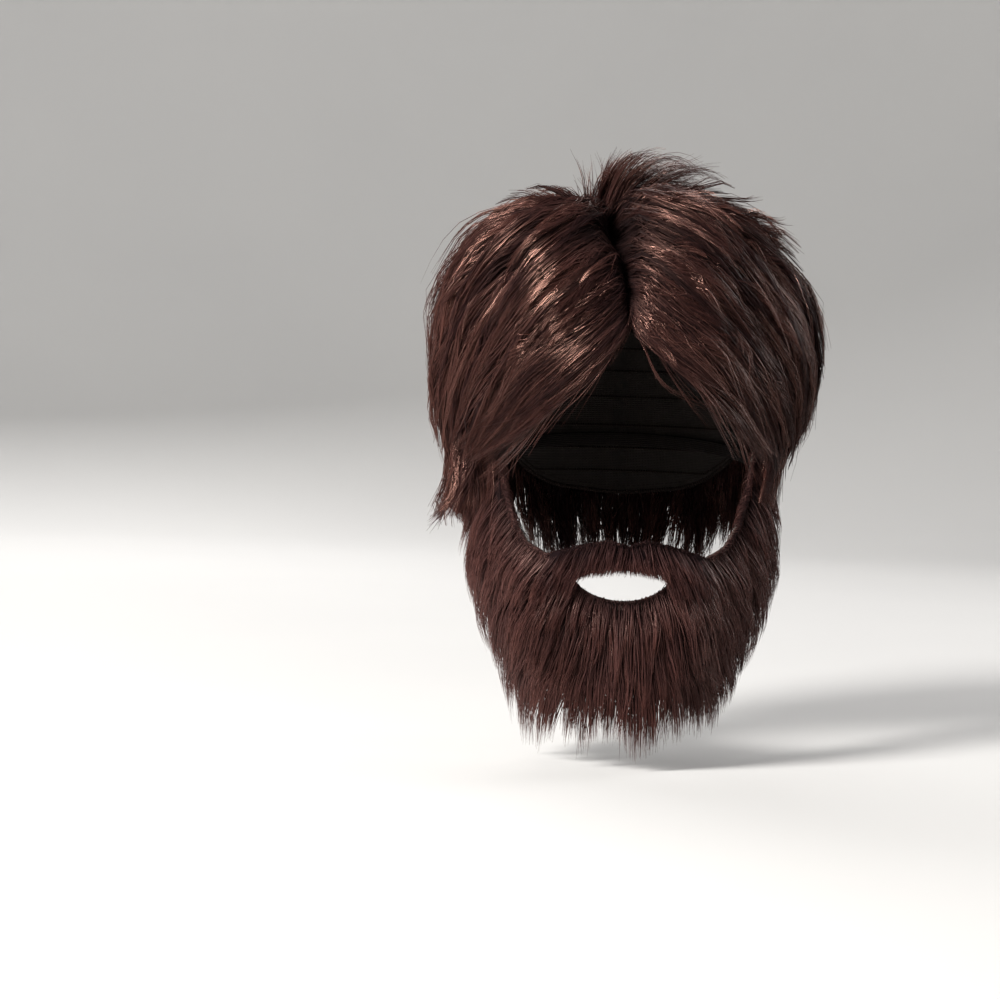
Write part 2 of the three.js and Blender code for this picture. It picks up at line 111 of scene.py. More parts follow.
# Shares of the head's width, front and back, at shares of the way from the temples to the chin
FORM_DOWN = [0.0, 0.25, 0.45, 0.65, 0.85, 1.0, 1.35]
FORM_WIDTH = [1.0, 0.985, 0.94, 0.87, 0.75, 0.65, 0.58]
FORM_FRONT = [1.0, 0.99, 1.0, 1.0, 0.97, 0.9, 0.82]
FORM_BACK = [1.0, 0.94, 0.84, 0.76, 0.72, 0.71, 0.7]

# Latitude of the cap's lower edge by azimuth
CAP_EDGE_AZIMUTH = [0, 30, 55, 72, 84, 96, 120, 145, 180]
CAP_EDGE_LATITUDE = [58, 64, 78, 94, 95, 88, 104, 115, 118]
CAP_ROW_LATITUDES = range(14, 112, 8)

# Latitudes of the backing's upper and lower edges by azimuth
BACKING_AZIMUTH = [0, 8, 20, 38, 50, 58, 63, 66, 70, 86]
BACKING_TOP = [129.5, 127.5, 129.4, 133.2, 130, 123.2, 114, 104, 97, 98]
BACKING_BOTTOM = [170, 170, 169, 166, 161, 156, 152, 149, 145, 128]
BACKING_END = 86

# Depth of the hair over the form, in shares of HAIR_DEPTH, by latitude
HAIR_LATITUDE = [0, 15, 30, 45, 62, 76, 90, 104, 112, 120, 145]
HAIR = {
    "front": [0.62, 0.6, 0.5, 0.38, 0.26, 0.2, 0.18, 0.16, 0.16, 0.16, 0.16],
    "temple_left": [0.56, 0.68, 0.74, 0.68, 0.5, 0.38, 0.3, 0.26, 0.26, 0.3, 0.24],
    "temple_right": [0.78, 0.86, 0.8, 0.7, 0.5, 0.38, 0.28, 0.24, 0.22, 0.22, 0.22],
    "left": [0.6, 0.76, 0.98, 1.0, 0.98, 0.82, 0.7, 0.58, 0.58, 0.78, 0.4],
    "right": [0.84, 0.94, 0.92, 0.94, 0.9, 0.76, 0.6, 0.3, 0.26, 0.26, 0.3],
    "back": [0.62, 0.68, 0.76, 0.82, 0.84, 0.78, 0.68, 0.58, 0.52, 0.48, 0.38],
}
HAIR_STOPS = [0, 45, 95, 180]

# Depth of the fur over the form, in shares of FUR_DEPTH, by azimuth
FUR_AZIMUTH = [0, 30, 50, 75, 95]
FUR = [
    (108, [0.32, 0.3, 0.26, 0.46, 0.5]),
    (136, [0.36, 0.36, 0.5, 0.9, 0.96]),
    (152, [0.66, 0.7, 0.82, 0.92, 0.94]),
    (168, [0.76, 0.8, 0.9, 0.9, 0.86]),
    (196, [0.5, 0.5, 0.56, 0.56, 0.5]),
]

# Fans of the hair. Each pair runs from the first lock of a section to its last
Fan = namedtuple("Fan", "locks root_az root_lat tip_az tip_lat sweep width")
HAIR_FANS = {
    "fringe_left": Fan(5, (-1, -8), (60, 16), (-67, -84), (103, 104), (1.5, 0.8), (0.42, 0.75)),
    "fringe_right": Fan(5, (1, 8), (60, 16), (65, 84), (101, 102), (1.5, 0.8), (0.42, 0.75)),
    "crown_hair_left": Fan(5, (-20, -120), (3, 3), (-86, -120), (100, 108), (0.6, 1), (0.95, 1.05)),
    "crown_hair_right": Fan(5, (20, 120), (3, 3), (86, 120), (98, 108), (0.6, 1), (0.95, 1.05)),
    "side_hair_left": Fan(4, (-69, -120), (91, 84), (-72, -118), (121, 130), (1, 1), (0.65, 1)),
    "side_hair_right": Fan(4, (67, 120), (91, 84), (70, 118), (115, 128), (1, 1), (0.65, 1)),
    "back_hair": Fan(6, (138, 222), (3, 3), (137, 223), (114, 114), (1, 1), (1.15, 1.15)),
    "nape_hair": Fan(6, (126, 234), (101, 101), (128, 232), (144, 144), (1, 1), (1.05, 1.05)),
}

# Rows of fur locks on the beard, given for the left side. Drop and spread are degrees from root to tip
Row = namedtuple("Row", "locks azimuth root drop spread width")
MOUSTACHE_ROWS = [Row(3, (-3, -27), (130, 130), (9, 16), (-6, -11), (0.65, 0.65))]
CHEEK_ROWS = [
    Row(3, (-82, -67), (101, 104), (48, 46), (-5, -4), (0.9, 0.7)),
    Row(3, (-61, -32), (122, 138), (46, 44), (-5, -2), (0.9, 0.9)),
    Row(3, (-80, -50), (140, 150), (37, 40), (-6, -3), (1, 0.9)),
]
CHIN_ROWS = [Row(7, (-34, 34), (146, 146), (51, 51), (-7, 7), (0.8, 0.8))]


def mirrored(rows):
    return [row._replace(azimuth=[-a for a in row.azimuth], spread=[-s for s in row.spread]) for row in rows]


FUR_ROWS = {
    "moustache": MOUSTACHE_ROWS + mirrored(MOUSTACHE_ROWS),
    "cheek_fur_left": CHEEK_ROWS,
    "cheek_fur_right": mirrored(CHEEK_ROWS),
    "chin_fur": CHIN_ROWS,
}

# The parting, which slants to the left towards the crown
PARTING_Y = [-98, -80, -55, -25, 5, 40]
PARTING_X = [-2, -5, -11, -19, -21, -6]

# How fast the fur leans away from the middle, by azimuth
BEARD_LEAN = ([0, 20, 42, 66, 86], [0, 7, 18, 9, 4])
CHEEK_LEAN = ([0, 20, 42, 66, 86], [0, 7, 18, 13, 13])
MOUSTACHE_LEAN = ([0, 34], [6, 13])

# ---- Places on the head form ----


def lerp(pair, share):
    return pair[0] + (pair[1] - pair[0]) * share


def smooth(start, end, value):
    """A rise from 0 to 1 between two values, level at both."""
    share = np.clip((value - start) / (end - start), 0, 1)
    return share * share * (3 - 2 * share)


def form_point(azimuth, latitude):
    """The head form's surface. Azimuth 0 is the face and 90 the right of a front view; latitude 0 is the crown."""
    azimuth, latitude = np.broadcast_arrays(np.asarray(azimuth, float), np.asarray(latitude, float))
    turn = np.radians(azimuth)
    dome = np.radians(np.minimum(latitude, TEMPLE_LATITUDE))
    down = np.maximum(latitude - TEMPLE_LATITUDE, 0) / (CHIN_LATITUDE - TEMPLE_LATITUDE)
    reach = np.sin(dome) ** DOME_POWER
    depth = np.where(
        np.cos(turn) > 0,
        HEAD_FRONT * np.interp(down, FORM_DOWN, FORM_FRONT),
        HEAD_BACK * np.interp(down, FORM_DOWN, FORM_BACK),
    )
    x = HEAD_HALF_WIDTH * np.interp(down, FORM_DOWN, FORM_WIDTH) * reach * np.sin(turn)
    y = -depth * reach * np.cos(turn)
    z = -CROWN_TO_TEMPLES * (1 - np.maximum(np.cos(dome), 0) ** DOME_POWER) - TEMPLES_TO_CHIN * down
    return np.stack([x, y, z], axis=-1)


def unit(vectors):
    return vectors / np.maximum(np.linalg.norm(vectors, axis=-1, keepdims=True), 1e-9)


def out_of_form(azimuth, latitude):
    step = 1.0
    at = np.maximum(latitude, 2 * step)
    across = form_point(azimuth + step, at) - form_point(azimuth - step, at)
    down = form_point(azimuth, at + step) - form_point(azimuth, at - step)
    return unit(np.cross(down, across))


def on_form(azimuth, latitude, height):
    azimuth, latitude, height = np.broadcast_arrays(
        np.asarray(azimuth, float), np.asarray(latitude, float), np.asarray(height, float)
    )
    return form_point(azimuth, latitude) + out_of_form(azimuth, latitude) * height[..., None]


def hair_depth(azimuth, latitude):
    turn = (azimuth + 180) % 360 - 180
    at = {side: np.interp(latitude, HAIR_LATITUDE, HAIR[side]) for side in HAIR}
    right = turn >= 0
    ring = [
        at["front"],
        np.where(right, at["temple_right"], at["temple_left"]),
        np.where(right, at["right"], at["left"]),
        at["back"],
    ]
    depth = ring[0]
    for i, (start, end) in enumerate(zip(HAIR_STOPS, HAIR_STOPS[1:])):
        depth = depth + (ring[i + 1] - ring[i]) * smooth(start, end, np.abs(turn))
    return HAIR_DEPTH * depth


def fur_depth(azimuth, latitude):
    levels = [np.interp(np.abs(azimuth), FUR_AZIMUTH, shares) for _, shares in FUR]
    depth = levels[0]
    for i in range(len(FUR) - 1):
        share = np.clip((latitude - FUR[i][0]) / (FUR[i + 1][0] - FUR[i][0]), 0, 1)
        depth = depth + (levels[i + 1] - levels[i]) * share
    return FUR_DEPTH * depth


def cap_edge(azimuth, soften=7):
    away = np.abs(azimuth)
    turns = (np.abs(away + aside) for aside in (-soften, 0, soften))
    return sum(np.interp(180 - np.abs(180 - turn), CAP_EDGE_AZIMUTH, CAP_EDGE_LATITUDE) for turn in turns) / 3


def backing_edges(azimuth):
    away = np.abs(azimuth)
    return np.interp(away, BACKING_AZIMUTH, BACKING_TOP), np.interp(away, BACKING_AZIMUTH, BACKING_BOTTOM)


def around(azimuth):
    """Length round the head at its mean radius."""
    return azimuth * np.pi / 180 * MEAN_RADIUS


MOUTH_Z = float(form_point(0, MOUTH_LATITUDE)[2]) + MOUTH_RISE


def in_mouth(points, margin):
    aside = np.clip(np.abs(points[..., 0] - MOUTH_SHIFT) / (MOUTH_HALF_WIDTH + margin), 0, 1)
    lens = 1 - aside**2
    above = MOUTH_Z + (MOUTH_RISE + margin) * lens
    below = MOUTH_Z - (MOUTH_FALL + margin) * lens
    return (aside < 1) & (points[..., 2] < above) & (points[..., 2] > below) & (points[..., 1] < 0)


# ---- Node trees ----


def maths(operation, turned=False):
    """An operator of Wire that adds a Math node, turned where the Wire stands on the right."""

    def operator(self, other):
        first, second = (other, self) if turned else (self, other)
        return self.owner.add("ShaderNodeMath", dict(operation=operation), {0: first, 1: second})["Value"]

    return operator


class Wire:
    """An output of a node. Arithmetic on it adds Math nodes to its tree."""

    def __init__(self, owner, socket):
        self.owner = owner
        self.socket = socket

    __add__, __radd__ = maths("ADD"), maths("ADD", True)
    __sub__, __rsub__ = maths("SUBTRACT"), maths("SUBTRACT", True)
    __mul__ = maths("MULTIPLY")
    __pow__ = maths("POWER")


class Nodes:
    """Adds nodes to a tree: a type, its settings, then the values or links of its sockets."""

    def __init__(self, tree):
        self.tree = tree

    def add(self, kind, settings=None, sockets=None):
        node = self.tree.nodes.new(kind)
        for name, value in (settings or {}).items():
            setattr(node, name, value)
        for key, value in (sockets or {}).items():
            socket = node.inputs[key] if isinstance(key, int) else find(node.inputs, key)
            if isinstance(value, Wire):
                self.tree.links.new(value.socket, socket)
            else:
                socket.default_value = value
        return Made(self, node)


class Made:
    """A node that was added. Its outputs are found by name or identifier."""

    def __init__(self, owner, node):
        self.owner = owner
        self.node = node

    def __getitem__(self, key):
        return Wire(self.owner, find(self.node.outputs, key))


def find(sockets, key):
    for socket in sockets:
        if socket.identifier == key:
            return socket
    return next(socket for socket in sockets if socket.name == key and socket.enabled)


class Finish(Nodes):
    """A material, with the few patterns that its finishes share."""

    def __init__(self, name):
        self.material = bpy.data.materials.new(name)
        self.material.use_nodes = True
        super().__init__(self.material.node_tree)
        self.tree.nodes.clear()

    def attribute(self, name):
        return self.add("ShaderNodeAttribute", dict(attribute_name=name))["Fac"]

    def place(self):
        return self.add("ShaderNodeTexCoord")["Object"]

    def noise(self, vector, scale, detail=2.0):
        return self.add("ShaderNodeTexNoise", {}, {"Vector": vector, "Scale": scale, "Detail": detail})["Fac"]

    def vector(self, x, y, z=0.0):
        return self.add("ShaderNodeCombineXYZ", {}, {"X": x, "Y": y, "Z": z})["Vector"]

    def clamp(self, value):
        return self.add("ShaderNodeClamp", {}, {"Value": value})["Result"]

    def sine(self, value):
        return self.add("ShaderNodeMath", dict(operation="SINE"), {0: value})["Value"]

    def between(self, factor, first, second):
        first, second = (end if isinstance(end, Wire) else (*end, 1) for end in (first, second))
        sockets = {"Factor_Float": factor, "A_Color": first, "B_Color": second}
        return self.add("ShaderNodeMix", dict(data_type="RGBA"), sockets)["Result_Color"]

    def bump(self, height, distance, strength=1.0):
        return self.add("ShaderNodeBump", {}, {"Height": height, "Distance": distance, "Strength": strength})["Normal"]

    def shader(self, sockets):
        return self.add("ShaderNodeBsdfPrincipled", {}, sockets)["BSDF"]

    def output(self, shader):
        self.add("ShaderNodeOutputMaterial", {}, {"Surface": shader})
        return self.material

    def surface(self, sockets):
        return self.output(self.shader(sockets))


def strand_finish(name, colours, roughness, dullness, tint_colour, specular):
    """Fibre: tint varies from strand to strand, roots are darker as painted shade, tips of light strands take a
    painted glow of light, and long soft patches drift over the whole.
    """
    dark, light, painted_tip_glow = colours
    finish = Finish(name)
    tint = finish.attribute("tint")
    along = finish.attribute("along")
    across = finish.attribute("across")
    patch = finish.noise(finish.place(), 26)
    # Painted shade: the colour darkens towards the roots, where strands lie under others near the parting, and
    # lightens along each strand towards its tip
    root = (1.0 - along) ** 5
    shade = finish.clamp(tint * 0.62 + patch * 0.8 - 0.27 + along * 0.22 - root * 0.4)
    base = finish.between(shade, dark, light)
    # Painted light: the tips of light strands blend into a painted glow of light shining through them
    colour = finish.between(finish.clamp(along**3 * tint * 1.2), base, painted_tip_glow)
    grain = finish.noise(finish.vector(across * 1.6, along * 3), 1.0, 3.0)
    sockets = {
        "Base Color": colour,
        "Roughness": finish.clamp(roughness + (1 - tint) * dullness + root * 0.4 + (0.5 - patch) * 0.3),
        "Normal": finish.bump(grain, 0.0012),
        "Specular Tint": (*tint_colour, 1),
    }
    dull = finish.shader({**sockets, "Specular IOR Level": specular * 0.15})
    glossy = finish.shader({**sockets, "Specular IOR Level": min(specular * 1.8, 1)})
    gloss = finish.clamp((tint * 1.3 + patch * 1.6 - 1.0) * (1.0 - root))
    mixed = finish.add("ShaderNodeMixShader", {}, {0: gloss, 1: dull, 2: glossy})["Shader"]
    return finish.output(mixed)


def net_finish():
    """Open net: a fine diamond mesh in the cloth, its holes painted dark as painted shade, with a soft worn look."""
    finish = Finish("cap_net_weave")
    across, along = finish.attribute("across"), finish.attribute("along")
    mesh = finish.sine((across + along) * 3.2) * finish.sine((across - along) * 3.2)
    painted_shade_holes = finish.clamp(mesh * 1.6)
    patch = finish.noise(finish.place(), 60)
    # Painted shade: the holes of the net are painted dark, for the shade seen through them
    base = finish.between(finish.clamp(painted_shade_holes * 0.8 + patch * 0.3), (0.03, 0.02, 0.015), (0.006, 0.004, 0.0035))
    return finish.surface({"Base Color": base, "Roughness": 0.82 + patch * 0.1, "Normal": finish.bump(mesh, -0.0005)})


def knit_finish():
    """Knitted backing: columns of small slanted loops, darker in their low parts as painted shade."""
    finish = Finish("backing_knit_weave")
    uv = finish.add("ShaderNodeUVMap", dict(uv_map="cloth"))["UV"]
    split = finish.add("ShaderNodeSeparateXYZ", {}, {"Vector": uv})
    across, along = split["X"], split["Y"]
    column = finish.sine(across * 3.6)
    loop = finish.sine(along * 5.2 + column * 1.4)
    height = column * column * 0.6 + loop * 0.4
    patch = finish.noise(finish.place(), 50)
    # Painted shade: the low parts of the knit are painted darker, between the loops; the patches are random tone
    base = finish.between(finish.clamp(height * 0.6 + patch * 0.4), (0.016, 0.009, 0.007), (0.05, 0.03, 0.022))
    return finish.surface({"Base Color": base, "Roughness": 0.8 + patch * 0.15, "Normal": finish.bump(height, 0.0005)})


def woven_finish(name, dark, light, pitch):
    """Narrow woven tape: ribs along it, crossed by its filling threads, partly darker in the low parts as painted
    shade.
    """
    finish = Finish(name)
    across, along = finish.attribute("across"), finish.attribute("along")
    rib = finish.sine(across * pitch)
    thread = finish.sine(along * 6.0 + rib * 1.2)
    height = rib * 0.7 + thread * 0.3
    patch = finish.noise(finish.place(), 70)
    # Partly painted shade: the low parts of the weave are painted darker; the patches are random tone
    base = finish.between(finish.clamp(height * 0.35 + patch * 0.6), dark, light)
    return finish.surface(
        {
            "Base Color": base,
            "Roughness": 0.75 + patch * 0.15,
            "Normal": finish.bump(height, 0.0004),
            "Specular IOR Level": 0.15,
        }
    )


# ---- Geometry trees ----


def open_tree(name, inputs):
    tree = bpy.data.node_groups.new(name, "GeometryNodeTree")
    kinds = dict(Geometry="Geometry", Finish="Material", Seed="Int", Sides="Int")
    for label in ["Geometry", *inputs, "Finish"]:
        tree.interface.new_socket(label, in_out="INPUT", socket_type="NodeSocket" + kinds.get(label, "Float"))
    tree.interface.new_socket("Geometry", in_out="OUTPUT", socket_type="NodeSocketGeometry")
    nodes = Nodes(tree)
    return nodes, nodes.add("NodeGroupInput")


def stored(nodes, label):
    return nodes.add("GeometryNodeInputNamedAttribute", dict(data_type="FLOAT"), {"Name": label})["Attribute"]


def close_tree(nodes, given, geometry):
    real = nodes.add("GeometryNodeRealizeInstances", {}, {"Geometry": geometry})["Geometry"]
    done = nodes.add("GeometryNodeSetMaterial", {}, {"Geometry": real, "Material": given["Finish"]})["Geometry"]
    nodes.add("NodeGroupOutput", {}, {"Geometry": done})
    return nodes.tree


def strand_tree():
    """Sweeps each guide line into a thin tapering strand, with a little frizz towards its tip."""
    nodes, given = open_tree("strand_sweep", ["Strand Width", "Sides", "Frizz", "Frizz Scale", "Seed"])
    curve = nodes.add("GeometryNodeMeshToCurve", {}, {"Mesh": given["Geometry"]})["Curve"]
    place = nodes.add("GeometryNodeInputPosition")["Position"]
    noise = nodes.add(
        "ShaderNodeTexNoise",
        dict(noise_dimensions="4D"),
        {"Vector": place, "W": given["Seed"], "Scale": given["Frizz Scale"], "Detail": 1.0},
    )["Color"]
    centred = nodes.add("ShaderNodeVectorMath", dict(operation="SUBTRACT"), {0: noise, 1: (0.5, 0.5, 0.5)})["Vector"]
    amount = stored(nodes, "along") * given["Frizz"]
    offset = nodes.add("ShaderNodeVectorMath", dict(operation="SCALE"), {0: centred, "Scale": amount})["Vector"]
    moved = nodes.add("GeometryNodeSetPosition", {}, {"Geometry": curve, "Offset": offset})["Geometry"]
    ring = nodes.add("GeometryNodeCurvePrimitiveCircle", {}, {"Resolution": given["Sides"], "Radius": 0.5})["Curve"]
    girth = stored(nodes, "girth") * given["Strand Width"]
    sockets = {"Curve": moved, "Profile Curve": ring, "Scale": girth, "Fill Caps": True}
    swept = nodes.add("GeometryNodeCurveToMesh", {}, sockets)["Mesh"]
    soft = nodes.add("GeometryNodeSetShadeSmooth", {}, {"Geometry": swept, "Shade Smooth": True})["Geometry"]
    return close_tree(nodes, given, soft)


def stitch_tree():
    """Lays short thread stitches end to end along each guide line."""
    nodes, given = open_tree("stitch_run", ["Pitch", "Stitch Length", "Thread"])
    curve = nodes.add("GeometryNodeMeshToCurve", {}, {"Mesh": given["Geometry"]})["Curve"]
    points = nodes.add("GeometryNodeCurveToPoints", dict(mode="LENGTH"), {"Curve": curve, "Length": given["Pitch"]})
    stitch = nodes.add("GeometryNodeMeshUVSphere", {}, {"Segments": 5, "Rings": 4, "Radius": 0.5})["Mesh"]
    sizes = {"X": given["Thread"], "Y": given["Thread"], "Z": given["Stitch Length"]}
    size = nodes.add("ShaderNodeCombineXYZ", {}, sizes)["Vector"]
    sockets = {"Points": points["Points"], "Instance": stitch, "Rotation": points["Rotation"], "Scale": size}
    laid = nodes.add("GeometryNodeInstanceOnPoints", {}, sockets)["Instances"]
    return close_tree(nodes, given, laid)


def write_layers(mesh, attributes, shape):
    for label, values in attributes.items():
        layer = mesh.attributes.new(label, "FLOAT", "POINT")
        layer.data.foreach_set("value", np.broadcast_to(values, shape).reshape(-1).astype(np.float32))


def guide_mesh(name, lines, attributes):
    """A mesh of open lines from an array of strand, point and x, y, z, in millimetres."""
    count, size = lines.shape[:2]
    mesh = bpy.data.meshes.new(name)
    mesh.vertices.add(count * size)
    mesh.vertices.foreach_set("co", (lines.reshape(-1) * MM).astype(np.float32))
    start = (np.arange(count) * size)[:, None] + np.arange(size - 1)[None, :]
    mesh.edges.add(start.size)
    mesh.edges.foreach_set("vertices", np.stack([start, start + 1], axis=-1).reshape(-1).astype(np.int32))
    write_layers(mesh, attributes, (count, size))
    return mesh


def evaluated(obj):
    """The plain mesh of an object with its modifiers applied."""
    depsgraph = bpy.context.evaluated_depsgraph_get()
    shape = obj.evaluated_get(depsgraph)
    return bpy.data.meshes.new_from_object(shape, preserve_all_data_layers=True, depsgraph=depsgraph)


def grown(name, tree, settings, mesh):
    """The object that a geometry tree makes from a guide mesh."""
    guide = linked(name, mesh)
    modifier = guide.modifiers.new("tree", "NODES")
    modifier.node_group = tree
    for item in tree.interface.items_tree:
        if item.in_out == "INPUT" and item.name in settings:
            modifier[item.identifier] = settings[item.name]
    made = evaluated(guide)
    bpy.data.objects.remove(guide)
    return linked(name, made)


def linked(name, mesh):
    obj = bpy.data.objects.new(name, mesh)
    bpy.context.collection.objects.link(obj)
    return obj


def joined(name, objects):
    with bpy.context.temp_override(
        active_object=objects[0], selected_objects=objects, selected_editable_objects=objects
    ):
        if len(objects) > 1:
            bpy.ops.object.join()
    objects[0].name = name
    objects[0].data.name = name
    return objects[0]


def skin(name, rings, attributes, finish, capped=True):
    """A mesh through rings of points, in millimetres, with an attribute value for each point."""
    count, size = rings.shape[:2]
    faces = []
    for r in range(count - 1):
        for i in range(size):
            a, b = r * size + i, r * size + (i + 1) % size
            faces.append((a, a + size, b + size, b))
    if capped:
        faces.append(tuple(range(size)))
        faces.append(tuple((count - 1) * size + i for i in reversed(range(size))))
    mesh = bpy.data.meshes.new(name)
    mesh.from_pydata((rings.reshape(-1, 3) * MM).tolist(), [], faces)
    write_layers(mesh, attributes, (count, size))
    mesh.materials.append(finish)
    mesh.polygons.foreach_set("use_smooth", [True] * len(mesh.polygons))
    mesh.update()
    return linked(name, mesh)


def weld(obj):
    """Joins points that meet, and turns all faces outwards."""
    work = bmesh.new()
    work.from_mesh(obj.data)
    bmesh.ops.remove_doubles(work, verts=work.verts, dist=WELD_DISTANCE)
    bmesh.ops.recalc_face_normals(work, faces=work.faces)
    work.to_mesh(obj.data)
    work.free()


def finished(obj, node):
    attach(obj, "root")
    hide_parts(node)


# ---- Strands ----


def across_strand(points, out):
    return unit(np.cross(np.gradient(points, axis=1), out))


def taper(share, tip):
    return (0.8 + 0.2 * smooth(0, 0.15, share)) * (1 - (1 - tip) * smooth(0.55, 1, share))


def strand_looks(count, t, rng, tint, vary, thick, tip=0.22):
    """Attributes of strands. Their tint, place in the grain and girth are drawn in this order."""
    return dict(
        tint=np.clip(tint + rng.normal(0, vary, (count, 1)), 0, 1),
        along=t,
        across=rng.uniform(0, GRAIN_RANGE, (count, 1)),
        girth=taper(t, tip) * rng.uniform(*thick, (count, 1)),
    )


def strands_on(name, lines, attributes, width, frizz, seed, finish, sides=3):
    settings = {
        "Strand Width": width * MM, "Sides": sides, "Frizz": frizz[0] * MM, "Frizz Scale": frizz[1],
        "Seed": seed, "Finish": finish,
    }
    return grown(name, trees["strand"], settings, guide_mesh(name, lines, attributes))


def shade_locks_under(name, paths, finish, fill):
    """Soft locks that fill the body of the hair under its strands, coloured the darkest strand colour as painted shade
    inside the hair.
    """
    parts = []
    for k, (azimuth, latitude, base, top, width) in enumerate(paths):
        count = len(azimuth)
        share = np.linspace(0, 1, count)
        low, high = on_form(azimuth, latitude, base), on_form(azimuth, latitude, base + (top - base) * fill)
        out = out_of_form(azimuth, latitude)
        across = unit(np.cross(np.gradient(low, axis=0), out))
        turn = np.linspace(0, 2 * np.pi, LOCK_SIDES, endpoint=False)
        wide = width * (0.6 + 0.4 * smooth(0, 0.3, share)) * (1 - 0.86 * smooth(0.6, 1, share)) * 0.9
        rings = (
            ((low + high) / 2)[:, None, :]
            + across[:, None, :] * (wide[:, None, None] / 2 * np.cos(turn)[None, :, None])
            + ((high - low) / 2)[:, None, :] * np.sin(turn)[None, :, None]
        )
        attributes = dict(
            # Painted shade: a tint below zero clamps to the darkest colour, for the shade deep inside the hair
            tint=-0.5,
            along=share[:, None] * 0.5,
            across=(k * 37 + np.cos(turn) * width / 2)[None, :],
        )
        parts.append(skin(f"{name}_body_{k}", rings, attributes, finish))
    return parts


def hair_path(fan, order, share):
    """A path of a fan: order runs from its first lock to its last, share from root to tip."""
    swept = np.sign(share) * np.abs(share) ** lerp(fan.sweep, order)
    root_az, root_lat = lerp(fan.root_az, order), lerp(fan.root_lat, order)
    azimuth = root_az + (lerp(fan.tip_az, order) - root_az) * swept
    return azimuth, root_lat + (lerp(fan.tip_lat, order) - root_lat) * share


def last_root(fan, order, early):
    """The last share of each path at which the cap still lies under the hair, up to two thirds of the way."""
    share = np.linspace(early, 0.68, 60)[None, :]
    azimuth, latitude = hair_path(fan, order[:, None], share)
    turn = np.abs((azimuth + 180) % 360 - 180)
    off = latitude > cap_edge(turn) - 1.5
    first = np.where(off.any(axis=1), np.argmax(off, axis=1), 59)
    return share[0, np.maximum(first, 1)]


def to_parting(root):
    """How far aside a root moves to reach the parting."""
    return np.interp(root[:, 1], PARTING_Y, PARTING_X) - root[:, 0]


